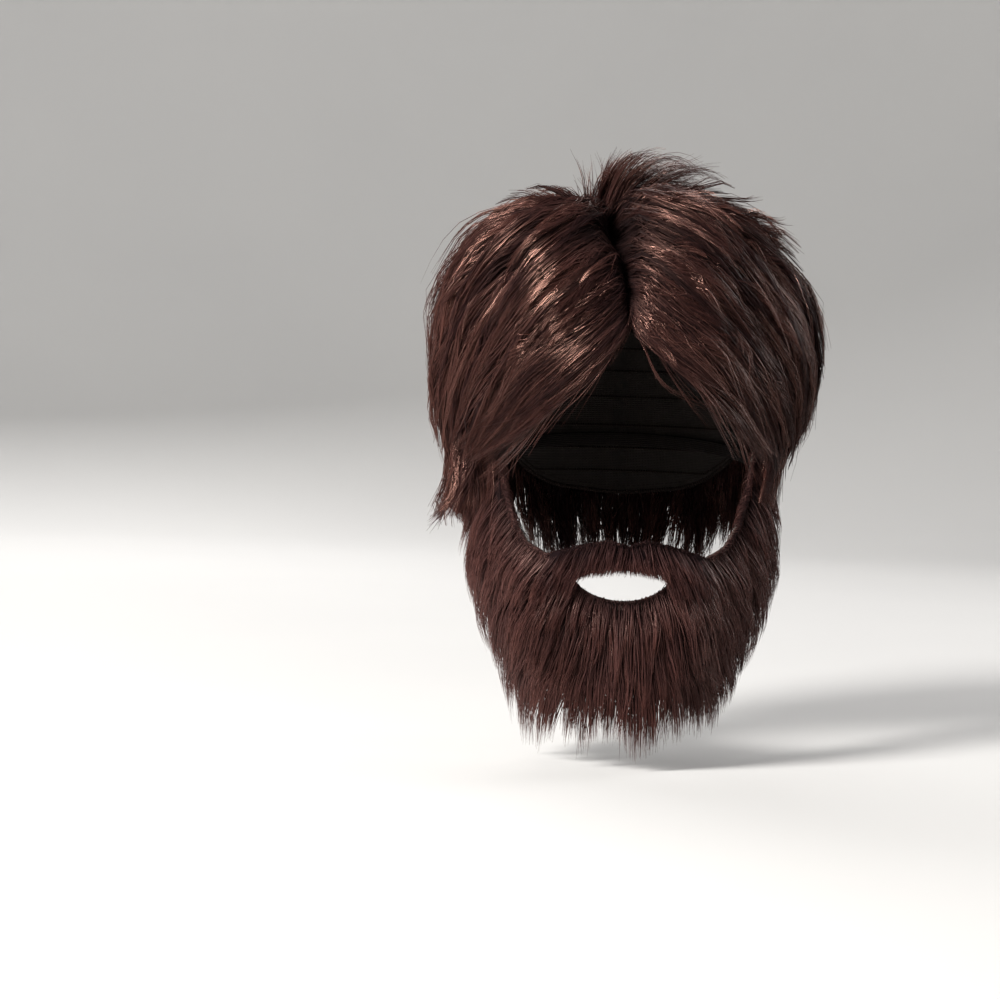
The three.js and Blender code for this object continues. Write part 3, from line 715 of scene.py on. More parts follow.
def hair_section(
    name, strands, clumps, segments, seed, finish, width=0.6, reach=(0.26, 0.58), early=0.0, flip=0.04, full=0.4,
    inner=0.8, ahead=0.025, behind=0.025, pointed=0.8, rounded=0.0, waves=1.0, body=0.74, extras=(),
):
    """One section of long hair: feathered clumps that start all along its fan, each rising over the next.

    Of a path's length, reach is a clump's own share, early is where the first ones start, and body is how far the
    locks under them run. A share full of the clumps runs to the tips. The fan runs on ahead of its first lock and
    behind its last, and rounded shortens it there. Clumps lie at inner to full depth, flip lifts their ends, pointed
    narrows them and waves bends them. Extras are loose wisps.
    """
    fan = HAIR_FANS[name]
    rng = np.random.default_rng(seed)
    order_c = rng.permutation((np.arange(clumps) + rng.random(clumps)) / clumps) * (1 + behind + ahead) - ahead
    last = last_root(fan, order_c, early)
    start_c = early + (last - early) * rng.random(clumps)
    start_c[: clumps // 4] = early + (rng.uniform(0, 0.06, clumps) * (last - early))[: clumps // 4]
    end_c = np.minimum(start_c + rng.uniform(*reach, clumps), rng.uniform(0.95, 1.0, clumps))
    end_c = np.where(rng.random(clumps) < full + 0.3 * (last < 0.2), rng.uniform(0.9, 1.0, clumps), end_c)
    end_c -= rounded * smooth(0.55, 1.1, np.abs(2 * order_c - 1)) * rng.uniform(0.5, 1.1, clumps)
    high_c = rng.uniform(inner, 1.02, clumps)
    half_c = rng.uniform(2.2, 6.8, clumps)
    drift_c = 5 * np.sin(order_c * 9 + start_c * 8 + seed) + rng.normal(0, 4.5, clumps)
    wave_c = rng.uniform(0, 2 * np.pi, clumps)
    bend_c = rng.uniform(1.0, 4.0, clumps) * waves
    roll_c = rng.uniform(0.4, 2.2, clumps) * waves
    flip_c = rng.normal(flip, 0.13, clumps)
    tint_c = rng.normal(0, 0.36, clumps)

    pick = np.arange(strands) % clumps
    loose = rng.random(strands) < 0.06
    u = np.clip(rng.normal(0, 0.5, strands), -1.2, 1.2) * np.where(loose, 1.8, 1)
    v = np.clip(rng.normal(0, 0.5, strands), -1.1, 1.1) * np.where(loose, 1.4, 1)
    start = start_c[pick] + rng.uniform(-0.03, 0.03, strands) * (start_c[pick] > early + 0.05)
    end = np.maximum(end_c[pick] - (end_c - start_c)[pick] * 0.4 * rng.random(strands) ** 2.2, start + 0.12)
    shallow = smooth(early, early + 0.14, start)

    t = np.linspace(0, 1, segments + 1)[None, :]
    share = start[:, None] + (end - start)[:, None] * t
    azimuth, latitude = hair_path(fan, order_c[pick][:, None], share)
    run = np.linalg.norm(np.diff(form_point(azimuth, latitude), axis=1), axis=-1).sum(axis=1)
    depth = hair_depth(azimuth, latitude)
    root_level = (0.9 - 0.42 * shallow)[:, None]
    level = root_level + (high_c[pick][:, None] - root_level) * smooth(0, 0.5, t)
    level = level * (1 + flip_c[pick][:, None] * smooth(0.55, 1, t))
    rise = smooth(-5, rng.uniform(9, 22, strands)[:, None], run[:, None] * t)
    height = CAP_WALL + np.maximum(depth * np.minimum(level, 1.14) - CAP_WALL, 1) * rise
    centre = on_form(azimuth, latitude, height)
    out = out_of_form(azimuth, latitude)
    across = across_strand(centre, out)
    spread = half_c[pick][:, None] * (0.9 + 0.1 * smooth(0, 0.3, t)) * (1 - pointed * smooth(0.3, 1, t))
    wave = bend_c[pick][:, None] * np.sin(wave_c[pick][:, None] + t * 6) * t + drift_c[pick][:, None] * t**1.6
    cross = rng.normal(0, 4.2, strands)[:, None] * (1 - t) ** 2
    stray = rng.normal(0, 1, strands)[:, None] * t**2 * np.where(loose, 7, 1.0)[:, None]
    lift = (v[:, None] * spread * 0.5 + np.where(loose, 1.6, 0)[:, None] * t) * smooth(0.02, 0.25, t)
    lift = lift + roll_c[pick][:, None] * np.sin(wave_c[pick][:, None] * 2 + t * 7) * smooth(0.2, 0.6, t)
    lines = centre + across * (u[:, None] * spread + wave + cross + stray)[..., None] + out * lift[..., None]
    gather = (to_parting(lines[:, 0]) * (early >= 0) * (1 - shallow))[:, None] * (1 - t) ** 1.6
    lines = lines + np.stack([gather, 0 * gather, 0 * gather], axis=-1)
    looks = strand_looks(strands, t, rng, (0.45 + tint_c[pick])[:, None], 0.16, (0.75, 1.25))
    parts = [strands_on(f"{name}_strands", lines, looks, width, HAIR_FRIZZ, seed, finish)]
    if extras:
        wisps = [
            wisp(on_form(*np.array(knots, float).T), count, half, rng, 0.55, stray, 0.5)
            for knots, count, half, stray in extras
        ]
        parts.append(bunch_of(f"{name}_wisps", wisps, seed, finish, width * 0.8))

    stations = np.linspace(0.08, body, 12)
    paths = []
    for i in range(fan.locks):
        order = lerp((0.08, 1), i / (fan.locks - 1))
        azimuth, latitude = hair_path(fan, order, stations)
        depth = hair_depth(azimuth, latitude)
        base = CAP_WALL + HAIR_SEAT * 0.3 + depth * 0.2 * smooth(body - 0.25, body, stations)
        top = base + (depth - base) * (0.4 + 0.6 * smooth(0.08, 0.3, stations))
        paths.append((azimuth, latitude, base, top, HAIR_LOCK_WIDTH * lerp(fan.width, order) * 0.8))
    return joined(f"{name}_hair", parts + shade_locks_under(name, paths, finish, 0.42))


def through_knots(knots, share):
    """Smooth curves through rows of knots, at shares of their length."""
    last = knots.shape[1] - 1
    padded = np.concatenate([2 * knots[:, :1] - knots[:, 1:2], knots, 2 * knots[:, -1:] - knots[:, -2:-1]], axis=1)
    place = np.clip(share * last, 0, last - 1e-6)
    i = np.floor(place).astype(int)
    f = (place - i)[..., None]
    rows = np.arange(knots.shape[0])[:, None]
    a, b, c, d = (padded[rows, i + k] for k in range(4))
    return 0.5 * (2 * b + (c - a) * f + (2 * a - 5 * b + 4 * c - d) * f**2 + (3 * b - a - 3 * c + d) * f**3)


def wisp(knots, strands, half, rng, tint, loose, tip):
    """Strands of one small bunch along a line of knots: points, and their attributes."""
    t = np.linspace(0, 1, 11)[None, :]
    end = 1 - 0.3 * rng.random(strands)[:, None] ** 2
    line = through_knots(np.broadcast_to(knots, (strands, *knots.shape)), t * end)
    tangent = unit(np.gradient(line, axis=1))
    side = unit(np.cross(tangent, np.array([0.0, 1.0, 0.05])))
    other = unit(np.cross(tangent, side))
    spread = half * (1 - (1 - tip) * smooth(0.1, 1, t))
    u, v = np.clip(rng.normal(0, 0.5, (2, strands, 1)), -1.2, 1.2)
    stray = rng.normal(0, loose, (2, strands, 1)) * t**2
    lines = line + side * (u * spread + stray[0])[..., None] + other * (v * spread + stray[1])[..., None]
    return lines, strand_looks(strands, t, rng, tint, 0.15, (0.75, 1.2))


def bunch_of(name, wisps, seed, finish, width):
    """One object from many wisps."""
    lines = np.concatenate([w[0] for w in wisps])
    looks = {key: np.concatenate([np.broadcast_to(w[1][key], w[0].shape[:2]) for w in wisps]) for key in wisps[0][1]}
    return strands_on(name, lines, looks, width, WISP_FRIZZ, seed, finish)


def crown_tuft(finish):
    """A fountain of thin wisps at the parting's end: the left ones stand, the others fan over to the right."""
    rng = np.random.default_rng(7)
    root = on_form(TUFT_AZIMUTH, TUFT_LATITUDE, CAP_WALL + 2)
    wisps = []
    for k in range(TUFT_WISPS):
        order = (k + rng.random()) / TUFT_WISPS
        lean = math.radians(84 - 30 * order + rng.normal(0, 5))
        bend = math.radians(rng.uniform(25, 60) + 55 * rng.random() ** 2)
        along = np.linspace(0, 1, 9)
        heading = lean - bend * along**1.4
        x = np.concatenate([[0], np.cumsum(np.cos(heading[1:]))])
        z = np.concatenate([[0], np.cumsum(np.sin(heading[1:]))])
        x *= TUFT_REACH * (0.16 + 0.8 * order) * rng.uniform(0.7, 1.1) / x.max()
        z *= TUFT_HEIGHT * (0.7 - 0.34 * order * rng.random() + 0.33 * rng.random() ** 0.6) / z.max()
        aside = rng.uniform(-1.1, 1.0) * TUFT_SPREAD
        foot = root + np.array([rng.uniform(-5, 1) + 9 * order, rng.normal(0, 5), 0])
        knots = foot + np.stack([x, aside * (0.15 + along), z], axis=-1)
        strands, half, tint = int(rng.integers(6, 13)), rng.uniform(1.0, 2.6), 0.5 + rng.normal(0, 0.2)
        wisps.append(wisp(knots, strands, half, rng, tint, 1.8, 0.45))
    for _ in range(TUFT_SPIKES):
        foot = root + np.array([rng.uniform(-7, 8), rng.uniform(-9, 9), 0])
        lean = rng.uniform(-13, 9)
        rise = rng.uniform(0.6, 1.04) * TUFT_HEIGHT
        steps = [(0, 0, 0), (lean * 0.1, 0, rise * 0.4), (lean * 0.4, 1, rise * 0.75), (lean, 2, rise)]
        knots = foot + np.array(steps)
        wisps.append(wisp(knots, 2, 1.0, rng, 0.55, 1.6, 2.4))
    return joined("crown_tuft_hair", [bunch_of("crown_tuft_strands", wisps, 7, finish, 0.5)])


def cloth_top(azimuth):
    return backing_edges(azimuth)[0]


def mouth_floor(azimuth):
    """Latitude of the mouth's lower rim, found by azimuth in a few steps."""
    latitude = np.full(np.shape(azimuth), MOUTH_LATITUDE)
    for _ in range(8):
        aside = np.clip((form_point(azimuth, latitude)[..., 0] - MOUTH_SHIFT) / MOUTH_HALF_WIDTH, -1, 1)
        depth = MOUTH_FALL * (1 - aside**2) ** 0.65 - MOUTH_Z
        latitude = TEMPLE_LATITUDE + (depth - CROWN_TO_TEMPLES) / MM_PER_DEGREE
    return latitude


def edge_pile(azimuths, edge_at, tone, rng, per_mm=6.0):
    """Short pile along an upper edge of the cloth, which leans over the edge before it falls."""
    azimuth = np.linspace(*azimuths, 400)
    run = np.linalg.norm(np.diff(form_point(azimuth, edge_at(azimuth)), axis=0), axis=-1).cumsum()
    count = int(run[-1] * per_mm)
    azimuth = np.interp(rng.uniform(0, run[-1], count), np.concatenate([[0], run]), azimuth)
    edge = edge_at(azimuth)
    step = 0.5
    before, after = azimuth - step, azimuth + step
    along_edge = unit(form_point(after, edge_at(after)) - form_point(before, edge_at(before)))
    out = out_of_form(azimuth, edge)
    down = unit(form_point(azimuth, edge + 1) - form_point(azimuth, edge - 1))
    away = unit(np.cross(along_edge, out))
    away *= -np.sign((away * down).sum(axis=-1, keepdims=True))
    t = np.linspace(0, 1, 6)[None, :, None]
    bounds = (0.2, 3.2), (0.8, 2.4), (0.6, 2.6), (-3.4, 2.2), (5, 13)
    inset, over, rise, curl, length = (rng.uniform(*pair, (count, 1, 1)) for pair in bounds)
    drift = rng.normal(0, 1.2, (count, 1, 1))
    lines = (
        on_form(azimuth, edge, BACKING_WALL - 0.3)[:, None, :]
        + away[:, None, :] * ((over + inset) * np.sin(np.minimum(t * 2.4, 1) * np.pi / 2) - inset)
        + out[:, None, :] * (rise * np.sin(np.minimum(t * 2.4, 1) * np.pi) + curl * smooth(0.3, 0.8, t))
        + down[:, None, :] * length * t**1.5
        + along_edge[:, None, :] * drift * t
    )
    return lines, strand_looks(count, t[..., 0], rng, tone, 0.2, (0.7, 1.2), 0.15)


def fur_section(name, strands, clumps, seed, finish, region):
    """Fur pile rooted all over its part of the backing, falling in small pointed tufts."""
    rng = np.random.default_rng(seed)

    def roots(count):
        found = np.zeros((0, 2))
        while len(found) < count:
            azimuth = rng.uniform(*region["azimuth"], count)
            top, bottom = backing_edges(azimuth)
            high = np.maximum(top - 0.5, region.get("start", 0))
            low = np.minimum(bottom, region.get("stop", 999))
            latitude = high + (low - high) * rng.random(count)
            point = on_form(azimuth, latitude, BACKING_WALL)
            keep = (low > high) & ~in_mouth(point, 0.6)
            found = np.concatenate([found, np.stack([azimuth, latitude], axis=-1)[keep]])
        return found[:count, 0], found[:count, 1]

    def fall(azimuth, latitude, layer, spread, longer, t):
        top, bottom = backing_edges(azimuth)
        down = np.clip((latitude - top) / np.maximum(bottom - top, 1), 0, 1)
        length = lerp(region["length"], smooth(0, 0.75, down)) * longer
        length = np.where(in_mouth(on_form(azimuth, latitude - 5, BACKING_WALL), 3), length * 0.62, length)
        lean = np.interp(np.abs(azimuth), *region["lean"]) * np.tanh(azimuth / region.get("split", 14))
        side = lean + spread
        az = azimuth[:, None] + (side * length / 45)[:, None] * t
        lat = latitude[:, None] + (length / MM_PER_DEGREE)[:, None] * t
        depth = np.maximum(fur_depth(az, lat), BACKING_WALL + 4)
        reach = np.minimum(depth - BACKING_WALL, length[:, None] * 0.72)
        height = BACKING_WALL + reach * (0.3 + 0.66 * layer[:, None]) * np.sin(t * np.pi / 2) ** 0.85
        return on_form(az, lat, height)

    t = np.linspace(0, 1, FUR_SEGMENTS + 1)[None, :]
    azimuth, latitude = roots(strands)
    clump_azimuth, clump_latitude = roots(clumps)
    layer = rng.random(strands)
    clump_layer = rng.random(clumps)
    clump_spread = rng.normal(0, 2.2, clumps)
    clump_longer = 0.78 + 0.36 * rng.random(clumps) ** 1.6
    gap = ((azimuth[:, None] - clump_azimuth) * 1.3) ** 2 + ((latitude[:, None] - clump_latitude) * 1.75) ** 2
    gap += ((layer[:, None] - clump_layer) * 12) ** 2
    pick = np.argmin(gap, axis=1)
    spread = rng.normal(0, 2.0, strands)
    longer = clump_longer[pick] * (0.72 + 0.42 * rng.random(strands) ** 1.8)
    own = fall(azimuth, latitude, layer, spread, longer, t)
    tuft = fall(clump_azimuth, clump_latitude, clump_layer, clump_spread, clump_longer, t)[pick]
    pull = (region.get("clumping", 0.6) * smooth(0.15, 1, t) * rng.uniform(0.5, 1.15, (strands, 1)))[..., None]
    lines = own * (1 - pull) + tuft * pull

    # A strand that comes to the mouth ends there, and a stub is left out
    blocked = in_mouth(lines, 0.0)
    first = np.where(blocked.any(axis=1), np.argmax(blocked, axis=1), FUR_SEGMENTS) / FUR_SEGMENTS
    keep = first > 0.3
    lines, first = lines[keep], first[keep]
    place = t * first[:, None] * FUR_SEGMENTS
    i = np.clip(np.floor(place).astype(int), 0, FUR_SEGMENTS - 1)
    rows = np.arange(len(lines))[:, None]
    lines = lines[rows, i] + (lines[rows, i + 1] - lines[rows, i]) * (place - i)[..., None]

    tone = region["tone"]
    looks = strand_looks(len(lines), t, rng, tone, 0.2, (0.7, 1.2), 0.15)
    pile = strands_on(f"{name}_pile", lines, looks, FUR_STRAND, FUR_FRIZZ, seed, finish)
    # Painted shade: the pile along the edges is toned 0.3 darker than the rest, against the light that falls on the
    # roll of the edge
    edges = [edge_pile(region["azimuth"], cloth_top, tone - 0.3, rng)]
    if "lip" in region:
        edges.append(edge_pile(region["lip"], mouth_floor, tone - 0.3, rng, 5.0))
    rims = [strands_on(f"{name}_edge", *edge, FUR_STRAND, FUR_FRIZZ, seed, finish) for edge in edges]

    paths = []
    for row in FUR_ROWS[name]:
        for k in range(row.locks):
            order = k / (row.locks - 1)
            azimuth, root, drop = lerp(row.azimuth, order), lerp(row.root, order), lerp(row.drop, order)
            below = float(backing_edges(azimuth)[1]) + 1.5
            last = min(0.7, (below - root) / drop)
            if last < 0.3:
                continue
            stations = np.linspace(0.14, last, 10)
            az = azimuth + lerp(row.spread, order) * stations
            lat = root + drop * stations
            depth = np.maximum(fur_depth(az, lat), BACKING_WALL + 4)
            base = BACKING_WALL + 0.4
            top = base + (depth - base) * (0.45 + 0.55 * smooth(0, 0.3, stations))
            paths.append((az, lat, base, top, FUR_LOCK_WIDTH * lerp(row.width, order) * 0.85))
    return joined(f"{name}_pile", [pile, *rims, *shade_locks_under(name, paths, finish, 0.34)])


# ---- Finishes and trees ----

# Dark strands, light ones, and the painted glow of light through light tips
HAIR_COLOURS = (0.007, 0.0041, 0.0046), (0.029, 0.011, 0.0101), (0.05, 0.0182, 0.0145)
FUR_COLOURS = (0.0078, 0.0045, 0.005), (0.047, 0.0186, 0.0175), (0.1, 0.037, 0.029)
hair_finish = strand_finish("wig_hair_fibre", HAIR_COLOURS, 0.22, 0.12, (1.0, 0.54, 0.43), 0.7)
fur_finish = strand_finish("beard_fur_fibre", FUR_COLOURS, 0.26, 0.24, (1.0, 0.62, 0.54), 0.4)
moustache_finish = strand_finish("moustache_fibre", FUR_COLOURS, 0.34, 0.24, (1.0, 0.72, 0.68), 0.2)
cap_finish = net_finish()
backing_finish = knit_finish()
elastic_finish = woven_finish("elastic_weave", (0.008, 0.006, 0.0055), (0.035, 0.027, 0.024), 5.5)
tape_finish = woven_finish("sewn_tape_weave", (0.008, 0.005, 0.004), (0.026, 0.015, 0.012), 4.0)
trees = dict(strand=strand_tree(), stitch=stitch_tree())

# ---- The wig's hair ----

finished(crown_tuft(hair_finish), "crown_tuft")

# Loose wisps: knots of azimuth, latitude and height, then the strands, the half width and the stray of each
FOREHEAD_WISP = [(1, 56, 10), (2.6, 67, 9), (6.6, 76.5, 8), (13.5, 82.5, 7.5), (32, 87, 8)]
FOREHEAD_SHORT = [(-1, 57, 9), (-2.5, 64, 8.5), (-6, 71, 8), (-10, 76, 8)]
EDGE_LEFT = [
    ([(-3, 60, 9), (-9, 73, 8), (-18, 83, 7), (-29, 91, 7)], 6, 2.4, 2.5),
    ([(-12, 66, 10), (-22, 79, 9), (-33, 90, 8), (-40, 101, 9)], 8, 3.0, 3.0),
    ([(-22, 74, 11), (-34, 87, 9), (-45, 97, 8), (-50, 110, 11)], 9, 3.4, 3.0),
    ([(-36, 80, 13), (-48, 93, 11), (-58, 105, 10), (-58, 116, 14)], 9, 3.4, 3.5),
]
EDGE_RIGHT = [
    ([(3, 61, 9), (11, 74, 8), (21, 84, 7), (33, 91, 7)], 6, 2.4, 2.5),
    ([(14, 68, 10), (26, 81, 8), (37, 92, 8), (45, 101, 9)], 8, 3.0, 3.0),
    ([(28, 76, 11), (41, 89, 9), (50, 100, 8), (55, 110, 11)], 8, 3.4, 3.0),
]
DOME_ARC = [(-60, 14, 22), (-80, 26, 38), (-88, 42, 53), (-92, 58, 54)]
DOME_ARC_LOW = [(-50, 20, 24), (-74, 30, 37), (-84, 46, 50), (-86, 66, 46)]
SIDE_LOOP = [(-96, 70, 40), (-98, 84, 38), (-96, 98, 33), (-92, 110, 26)]
SIDE_FLICK = [(-82, 107, 20), (-87, 116, 27), (-91, 122, 35), (-94, 125, 41)]
RIGHT_SPIKE = [(60, 14, 30), (72, 22, 40), (80, 28, 48), (84, 30, 54)]
RIGHT_HOOK = [(70, 24, 36), (82, 32, 44), (88, 38, 50), (92, 40, 55)]
RIGHT_LOOP = [(92, 62, 40), (94, 76, 38), (92, 90, 30), (88, 100, 18)]
FRINGE = dict(strands=3500, clumps=130, segments=8, reach=(0.2, 0.46), behind=0.14, waves=1.35)
CROWN = dict(strands=3600, segments=7, ahead=0.2, behind=0.16)
SIDE = dict(
    strands=2500, clumps=100, segments=6, early=-0.5, inner=0.3, body=0.4, full=0.7, reach=(0.5, 0.9), pointed=0.5,
    behind=0.14, waves=1.5,
)
LEFT_ARCS = [(DOME_ARC, 9, 3.0, 3.0), (DOME_ARC_LOW, 12, 4.0, 3.0), (SIDE_LOOP, 10, 5.0, 5.0)]
RIGHT_ARCS = [(RIGHT_SPIKE, 10, 2.2, 2.5), (RIGHT_HOOK, 10, 2.2, 2.5), (RIGHT_LOOP, 9, 4.0, 4.0)]
HAIR_STYLES = {
    "fringe_left": dict(**FRINGE, seed=11, flip=0.06, extras=[(FOREHEAD_SHORT, 4, 2.0, 2.0), *EDGE_LEFT]),
    "fringe_right": dict(**FRINGE, seed=12, flip=0.07, extras=[(FOREHEAD_WISP, 5, 1.2, 1.8), *EDGE_RIGHT]),
    "crown_hair_left": dict(**CROWN, clumps=130, seed=13, flip=0.07, reach=(0.2, 0.46), waves=1.4, extras=LEFT_ARCS),
    "crown_hair_right": dict(**CROWN, clumps=140, seed=14, flip=0.11, reach=(0.18, 0.4), waves=1.3, extras=RIGHT_ARCS),
    "side_hair_left": dict(**SIDE, seed=15, extras=[(SIDE_FLICK, 30, 4.0, 3.0)]),
    "side_hair_right": dict(**SIDE, seed=16),
    "back_hair": dict(strands=3700, clumps=120, segments=7, seed=17, width=0.72, ahead=0.13, behind=0.13),
    "nape_hair": dict(
        strands=3900, clumps=170, segments=6, seed=18, width=0.7, early=-0.4, inner=0.2, body=0.3, full=0.75,
        reach=(0.5, 0.9), pointed=0.45, ahead=0.07, behind=0.07, rounded=0.4,
    ),
}
for node, style in HAIR_STYLES.items():
    finished(hair_section(node, finish=hair_finish, **style), node)

# ---- The beard's fur ----

# Strands, clumps, seed and finish of each node, and its region of the backing: azimuths, lengths and what else differs
FUR_STYLES = {
    # The moustache's low tone is painted shade: it is kept darker than the cheeks and chin
    "moustache": (2700, 100, 21, moustache_finish, dict(
        azimuth=(-34, 34), stop=138, length=(20, 24), lean=MOUSTACHE_LEAN, clumping=0.4, split=2, tone=0.3,
    )),
    "cheek_fur_left": (4150, 120, 22, fur_finish, dict(
        azimuth=(-86, -32), length=(27, 57), lean=CHEEK_LEAN, tone=0.6,
    )),
    "cheek_fur_right": (4150, 120, 23, fur_finish, dict(
        azimuth=(32, 86), length=(26, 49), lean=BEARD_LEAN, tone=0.6,
    )),
    "chin_fur": (4300, 130, 24, fur_finish, dict(
        azimuth=(-36, 36), start=138, length=(22, 48), lean=BEARD_LEAN, lip=(-26, 20.5), tone=0.54,
    )),
}
for node, style in FUR_STYLES.items():
    finished(fur_section(node, *style), node)

# ---- Cap, backing and elastic ----


def there_and_back(values):
    return np.concatenate([values, values[:, ::-1]], axis=1)


def shell(name, azimuths, top, bottom, rows, wall, finish, closed):
    """A shell of one wall over the form, between two edges given by azimuth."""
    share = np.linspace(0, 1, rows)[None, :]
    latitude = top[:, None] + (bottom - top)[:, None] * share
    azimuth = np.broadcast_to(azimuths[:, None], latitude.shape)
    outer = on_form(azimuth, latitude, wall)
    inner = on_form(azimuth, latitude, 0.0)[:, ::-1]
    rings = np.concatenate([outer, inner], axis=1)
    across = around(azimuth)
    along = latitude * MM_PER_DEGREE
    if closed:
        rings = np.concatenate([rings, rings[:1]])
        across = np.concatenate([across, across[:1] + 2 * np.pi * MEAN_RADIUS])
        along = np.concatenate([along, along[:1]])
    attributes = dict(across=there_and_back(across), along=there_and_back(along))
    obj = skin(name, rings, attributes, finish, capped=not closed)
    weld(obj)
    return obj


def tape(name, lines, width, sides):
    """Round sewn tape along lines on the form."""
    along = np.cumsum(np.linalg.norm(np.diff(lines, axis=1, prepend=lines[:, :1]), axis=-1), axis=1)
    attributes = dict(along=along * 0, across=along, girth=1.0)
    return strands_on(name, lines, attributes, width, NO_FRIZZ, 1, tape_finish, sides)


def stitches(name, line):
    """Thread stitches along one line."""
    settings = {"Pitch": STITCH_PITCH * MM, "Stitch Length": STITCH_LENGTH * MM, "Thread": STITCH_THREAD * MM}
    return grown(name, trees["stitch"], {**settings, "Finish": tape_finish}, guide_mesh(name, line[None], {}))


# Cap, with the rows that its hair is sewn on in and its bound rim
ring = np.linspace(-180, 180, 121)[:-1]
edge = cap_edge(ring)
cap = shell("wig_cap_net", ring, np.full_like(ring, 0.2), edge, 34, CAP_WALL, cap_finish, True)
finished(cap, "wig_cap")

loop = np.linspace(-180, 180, 121)
rim = cap_edge(loop)
rows = [on_form(loop, np.minimum(latitude, rim - 2), 0.1) for latitude in CAP_ROW_LATITUDES]
row_tapes = tape("wig_cap_rows", np.stack(rows), ROW_WIDTH, 5)
rim_tape = tape("wig_cap_rim", on_form(loop, rim - 0.3, CAP_WALL / 2)[None], RIM_WIDTH, 8)
rim_seam = stitches("wig_cap_seam", on_form(loop, rim - 2.2, -0.1))
finished(joined("wig_cap_binding", [row_tapes, rim_tape, rim_seam]), "wig_cap")

# Backing of the beard, with the mouth cut through it
columns = np.linspace(-BACKING_END, BACKING_END, 119)
top, bottom = backing_edges(columns)
backing = shell("beard_backing_cloth", columns, top, bottom, 40, BACKING_WALL, backing_finish, False)
cloth = backing.data.uv_layers.new(name="cloth")
across = np.empty(len(backing.data.vertices))
along = np.empty(len(backing.data.vertices))
backing.data.attributes["across"].data.foreach_get("value", across)
backing.data.attributes["along"].data.foreach_get("value", along)
corner = np.empty(len(backing.data.loops), dtype=np.int32)
backing.data.loops.foreach_get("vertex_index", corner)
cloth.data.foreach_set("uv", np.stack([across[corner], along[corner]], axis=-1).reshape(-1))
turn = np.linspace(0, 2 * np.pi, 48, endpoint=False)
rise = np.sin(turn)
lens_x = MOUTH_SHIFT + MOUTH_HALF_WIDTH * np.cos(turn)
lens_z = MOUTH_Z + np.where(rise > 0, MOUTH_RISE, MOUTH_FALL) * rise * np.abs(rise) ** 0.3
prism = np.stack([np.stack([lens_x, np.full_like(turn, y), lens_z], axis=-1) for y in (-130.0, -40.0)])
cutter = skin("mouth_cut", prism, {}, backing_finish)
weld(cutter)
cut = backing.modifiers.new("mouth", "BOOLEAN")
cut.operation, cut.object, cut.solver = "DIFFERENCE", cutter, "EXACT"
opened = evaluated(backing)
backing.modifiers.clear()
backing.data = opened
bpy.data.objects.remove(cutter)
finished(backing, "beard_backing")

border = np.concatenate([columns, columns[::-1], columns[:1]])


def hem_line(inset, end, height):
    """A closed line round the backing, at an inset from its edges."""
    latitude = np.concatenate([top + inset, bottom[::-1] - inset, top[:1] + inset])
    return on_form(np.clip(border, -end, end), latitude, height)


hem = tape("beard_hem", hem_line(0.9, 85.5, 0.1)[None], HEM_WIDTH, 8)
hem_seam = stitches("beard_seam", hem_line(2.6, 85, -0.05))
finished(joined("beard_backing_binding", [hem, hem_seam]), "beard_backing")

# Elastic band
steps = np.linspace(0, 1, 121)
azimuth = ELASTIC_END + (360 - 2 * ELASTIC_END) * steps
away = np.abs(azimuth - 180) / (180 - ELASTIC_END)
latitude = ELASTIC_BEHIND + (ELASTIC_AT_ENDS - ELASTIC_BEHIND) * away**2
profile = np.array([-1, -0.92, -0.5, 0, 0.5, 0.92, 1, 0.92, 0.5, 0, -0.5, -0.92])
deep = np.array([0.5, 0.08, 0, 0, 0, 0.08, 0.5, 0.92, 1, 1, 1, 0.92])
half = ELASTIC_WIDTH / 2 / MM_PER_DEGREE
band = on_form(
    azimuth[:, None], latitude[:, None] + profile[None] * half, -ELASTIC_INSET - deep[None] * ELASTIC_THICKNESS
)
attributes = dict(across=profile[None] * ELASTIC_WIDTH / 2, along=around(azimuth)[:, None])
elastic = skin("beard_elastic_band", band, attributes, elastic_finish)
weld(elastic)
finished(elastic, "beard_elastic")

# ---- Floor, light and camera ----

# A pale bowl: a flat floor that bends up into an upright wall, in metres
FLOOR_Z = -0.296
BOWL_FLAT = 1.7
BOWL_BEND = 1.0
BOWL_TOP = 3.4
paper = Finish("pale_paper")
paper_noise = paper.noise(paper.place(), 3.0)
paper_material = paper.surface(
    {"Base Color": paper.between(paper_noise, (0.43, 0.43, 0.43), (0.46, 0.46, 0.457)), "Roughness": 0.9}
)
bend = np.linspace(0, np.pi / 2, 24)
bowl_reach = np.concatenate([[0.0], BOWL_FLAT + BOWL_BEND * np.sin(bend), [BOWL_FLAT + BOWL_BEND]])
bowl_rise = np.concatenate([[0.0], BOWL_BEND - BOWL_BEND * np.cos(bend), [BOWL_TOP]]) + FLOOR_Z
round_turn = np.linspace(0, 2 * np.pi, 96, endpoint=False)
bowl = np.stack(
    [
        bowl_reach[:, None] * np.cos(round_turn),
        bowl_reach[:, None] * np.sin(round_turn),
        np.broadcast_to(bowl_rise[:, None], (len(bowl_rise), len(round_turn))),
    ],
    axis=-1,
)
backdrop = skin("backdrop", bowl / MM, {}, paper_material, capped=False)
weld(backdrop)

focus = Vector((-0.002, 0.0, -0.113))

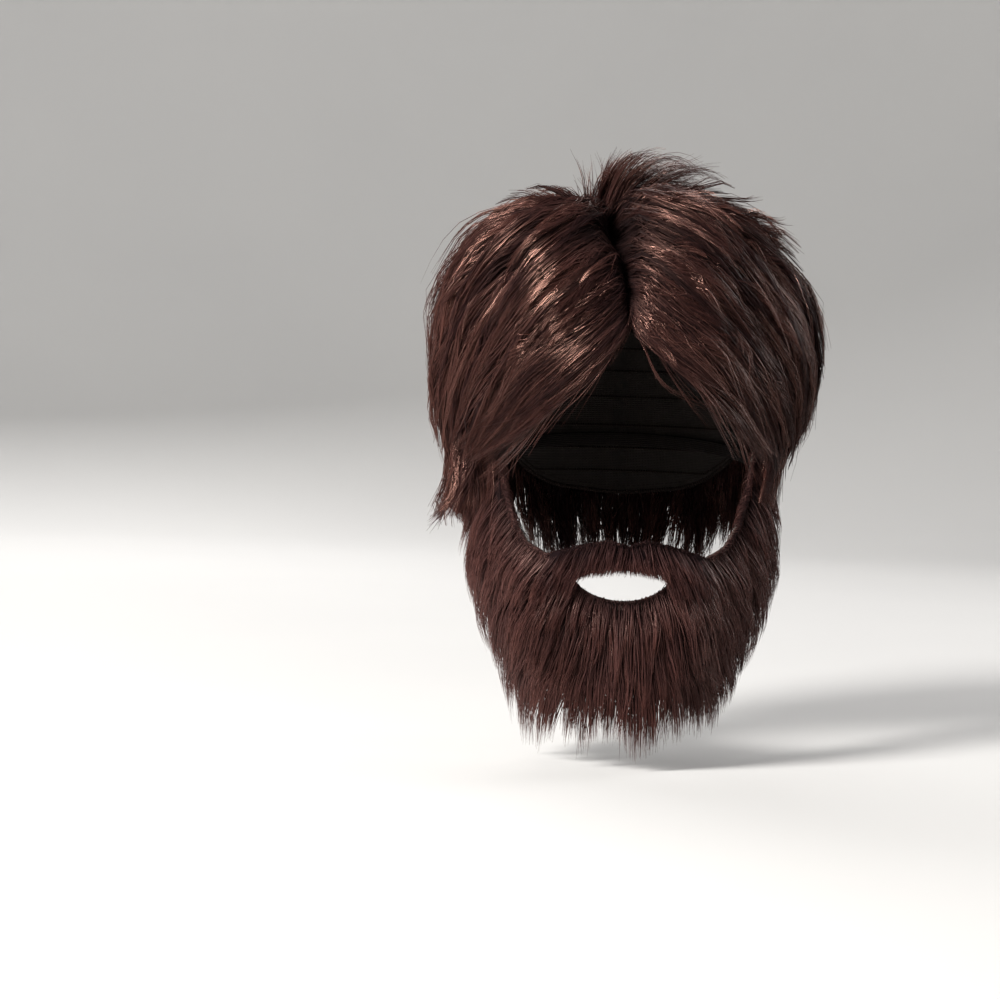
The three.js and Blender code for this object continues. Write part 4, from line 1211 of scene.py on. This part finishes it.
# Round lamps that face the focus: place and size in metres, power in watts, and colour
LAMPS = {
    "key": ((-1.3, -1.2, 0.9), 0.65, 110, (1.0, 0.97, 0.93)),
    "fill": ((1.3, -1.2, 0.45), 0.5, 4, (1.0, 0.98, 0.97)),
    "back": ((-0.6, 1.5, 0.8), 1.6, 27, (1.0, 0.98, 0.96)),
    "side": ((1.4, 0.8, 0.6), 1.0, 14, (1.0, 0.98, 0.97)),
}
for name, (place, size, power, colour) in LAMPS.items():
    light = bpy.data.lights.new(name, "AREA")
    light.shape, light.size, light.energy, light.color = "DISK", size, power, colour
    lamp = linked(name, light)
    lamp.location = place
    lamp.rotation_euler = (focus - Vector(place)).to_track_quat("-Z", "Y").to_euler()
world = bpy.data.worlds.new("studio")
world.use_nodes = True
sky = world.node_tree.nodes["Background"].inputs
sky["Color"].default_value = (0.95, 0.96, 1.0, 1)
sky["Strength"].default_value = 0.24
bpy.context.scene.world = world
bpy.context.scene.view_settings.view_transform = "Standard"

# The photo's scale and centre, and the camera's angles in degrees
IMAGE_WIDTH = 1000
IMAGE_HEIGHT = 999
CENTRE_PIXEL = (622, 440)
PIXELS_PER_MM = 1.7
DISTANCE = 1.8
SENSOR = 36
TURN = -2
TILT = 2
ROLL = 1.8
lens = bpy.data.cameras.new("view")
lens.sensor_width = SENSOR
lens.lens = PIXELS_PER_MM * DISTANCE / MM * SENSOR / IMAGE_WIDTH
lens.shift_x = -(CENTRE_PIXEL[0] - IMAGE_WIDTH / 2) / IMAGE_WIDTH
lens.shift_y = (CENTRE_PIXEL[1] - IMAGE_HEIGHT / 2) / IMAGE_WIDTH
lens.clip_end = 30
camera = linked("camera", lens)
turn, tilt, roll = (math.radians(angle) for angle in (TURN, TILT, ROLL))
level = math.cos(tilt)
camera.location = focus + DISTANCE * Vector((math.sin(turn) * level, -math.cos(turn) * level, math.sin(tilt)))
aim = (focus - camera.location).to_track_quat("-Z", "Y").to_matrix()
camera.rotation_euler = (aim @ Matrix.Rotation(roll, 3, "Z")).to_euler()
bpy.context.scene.camera = camera
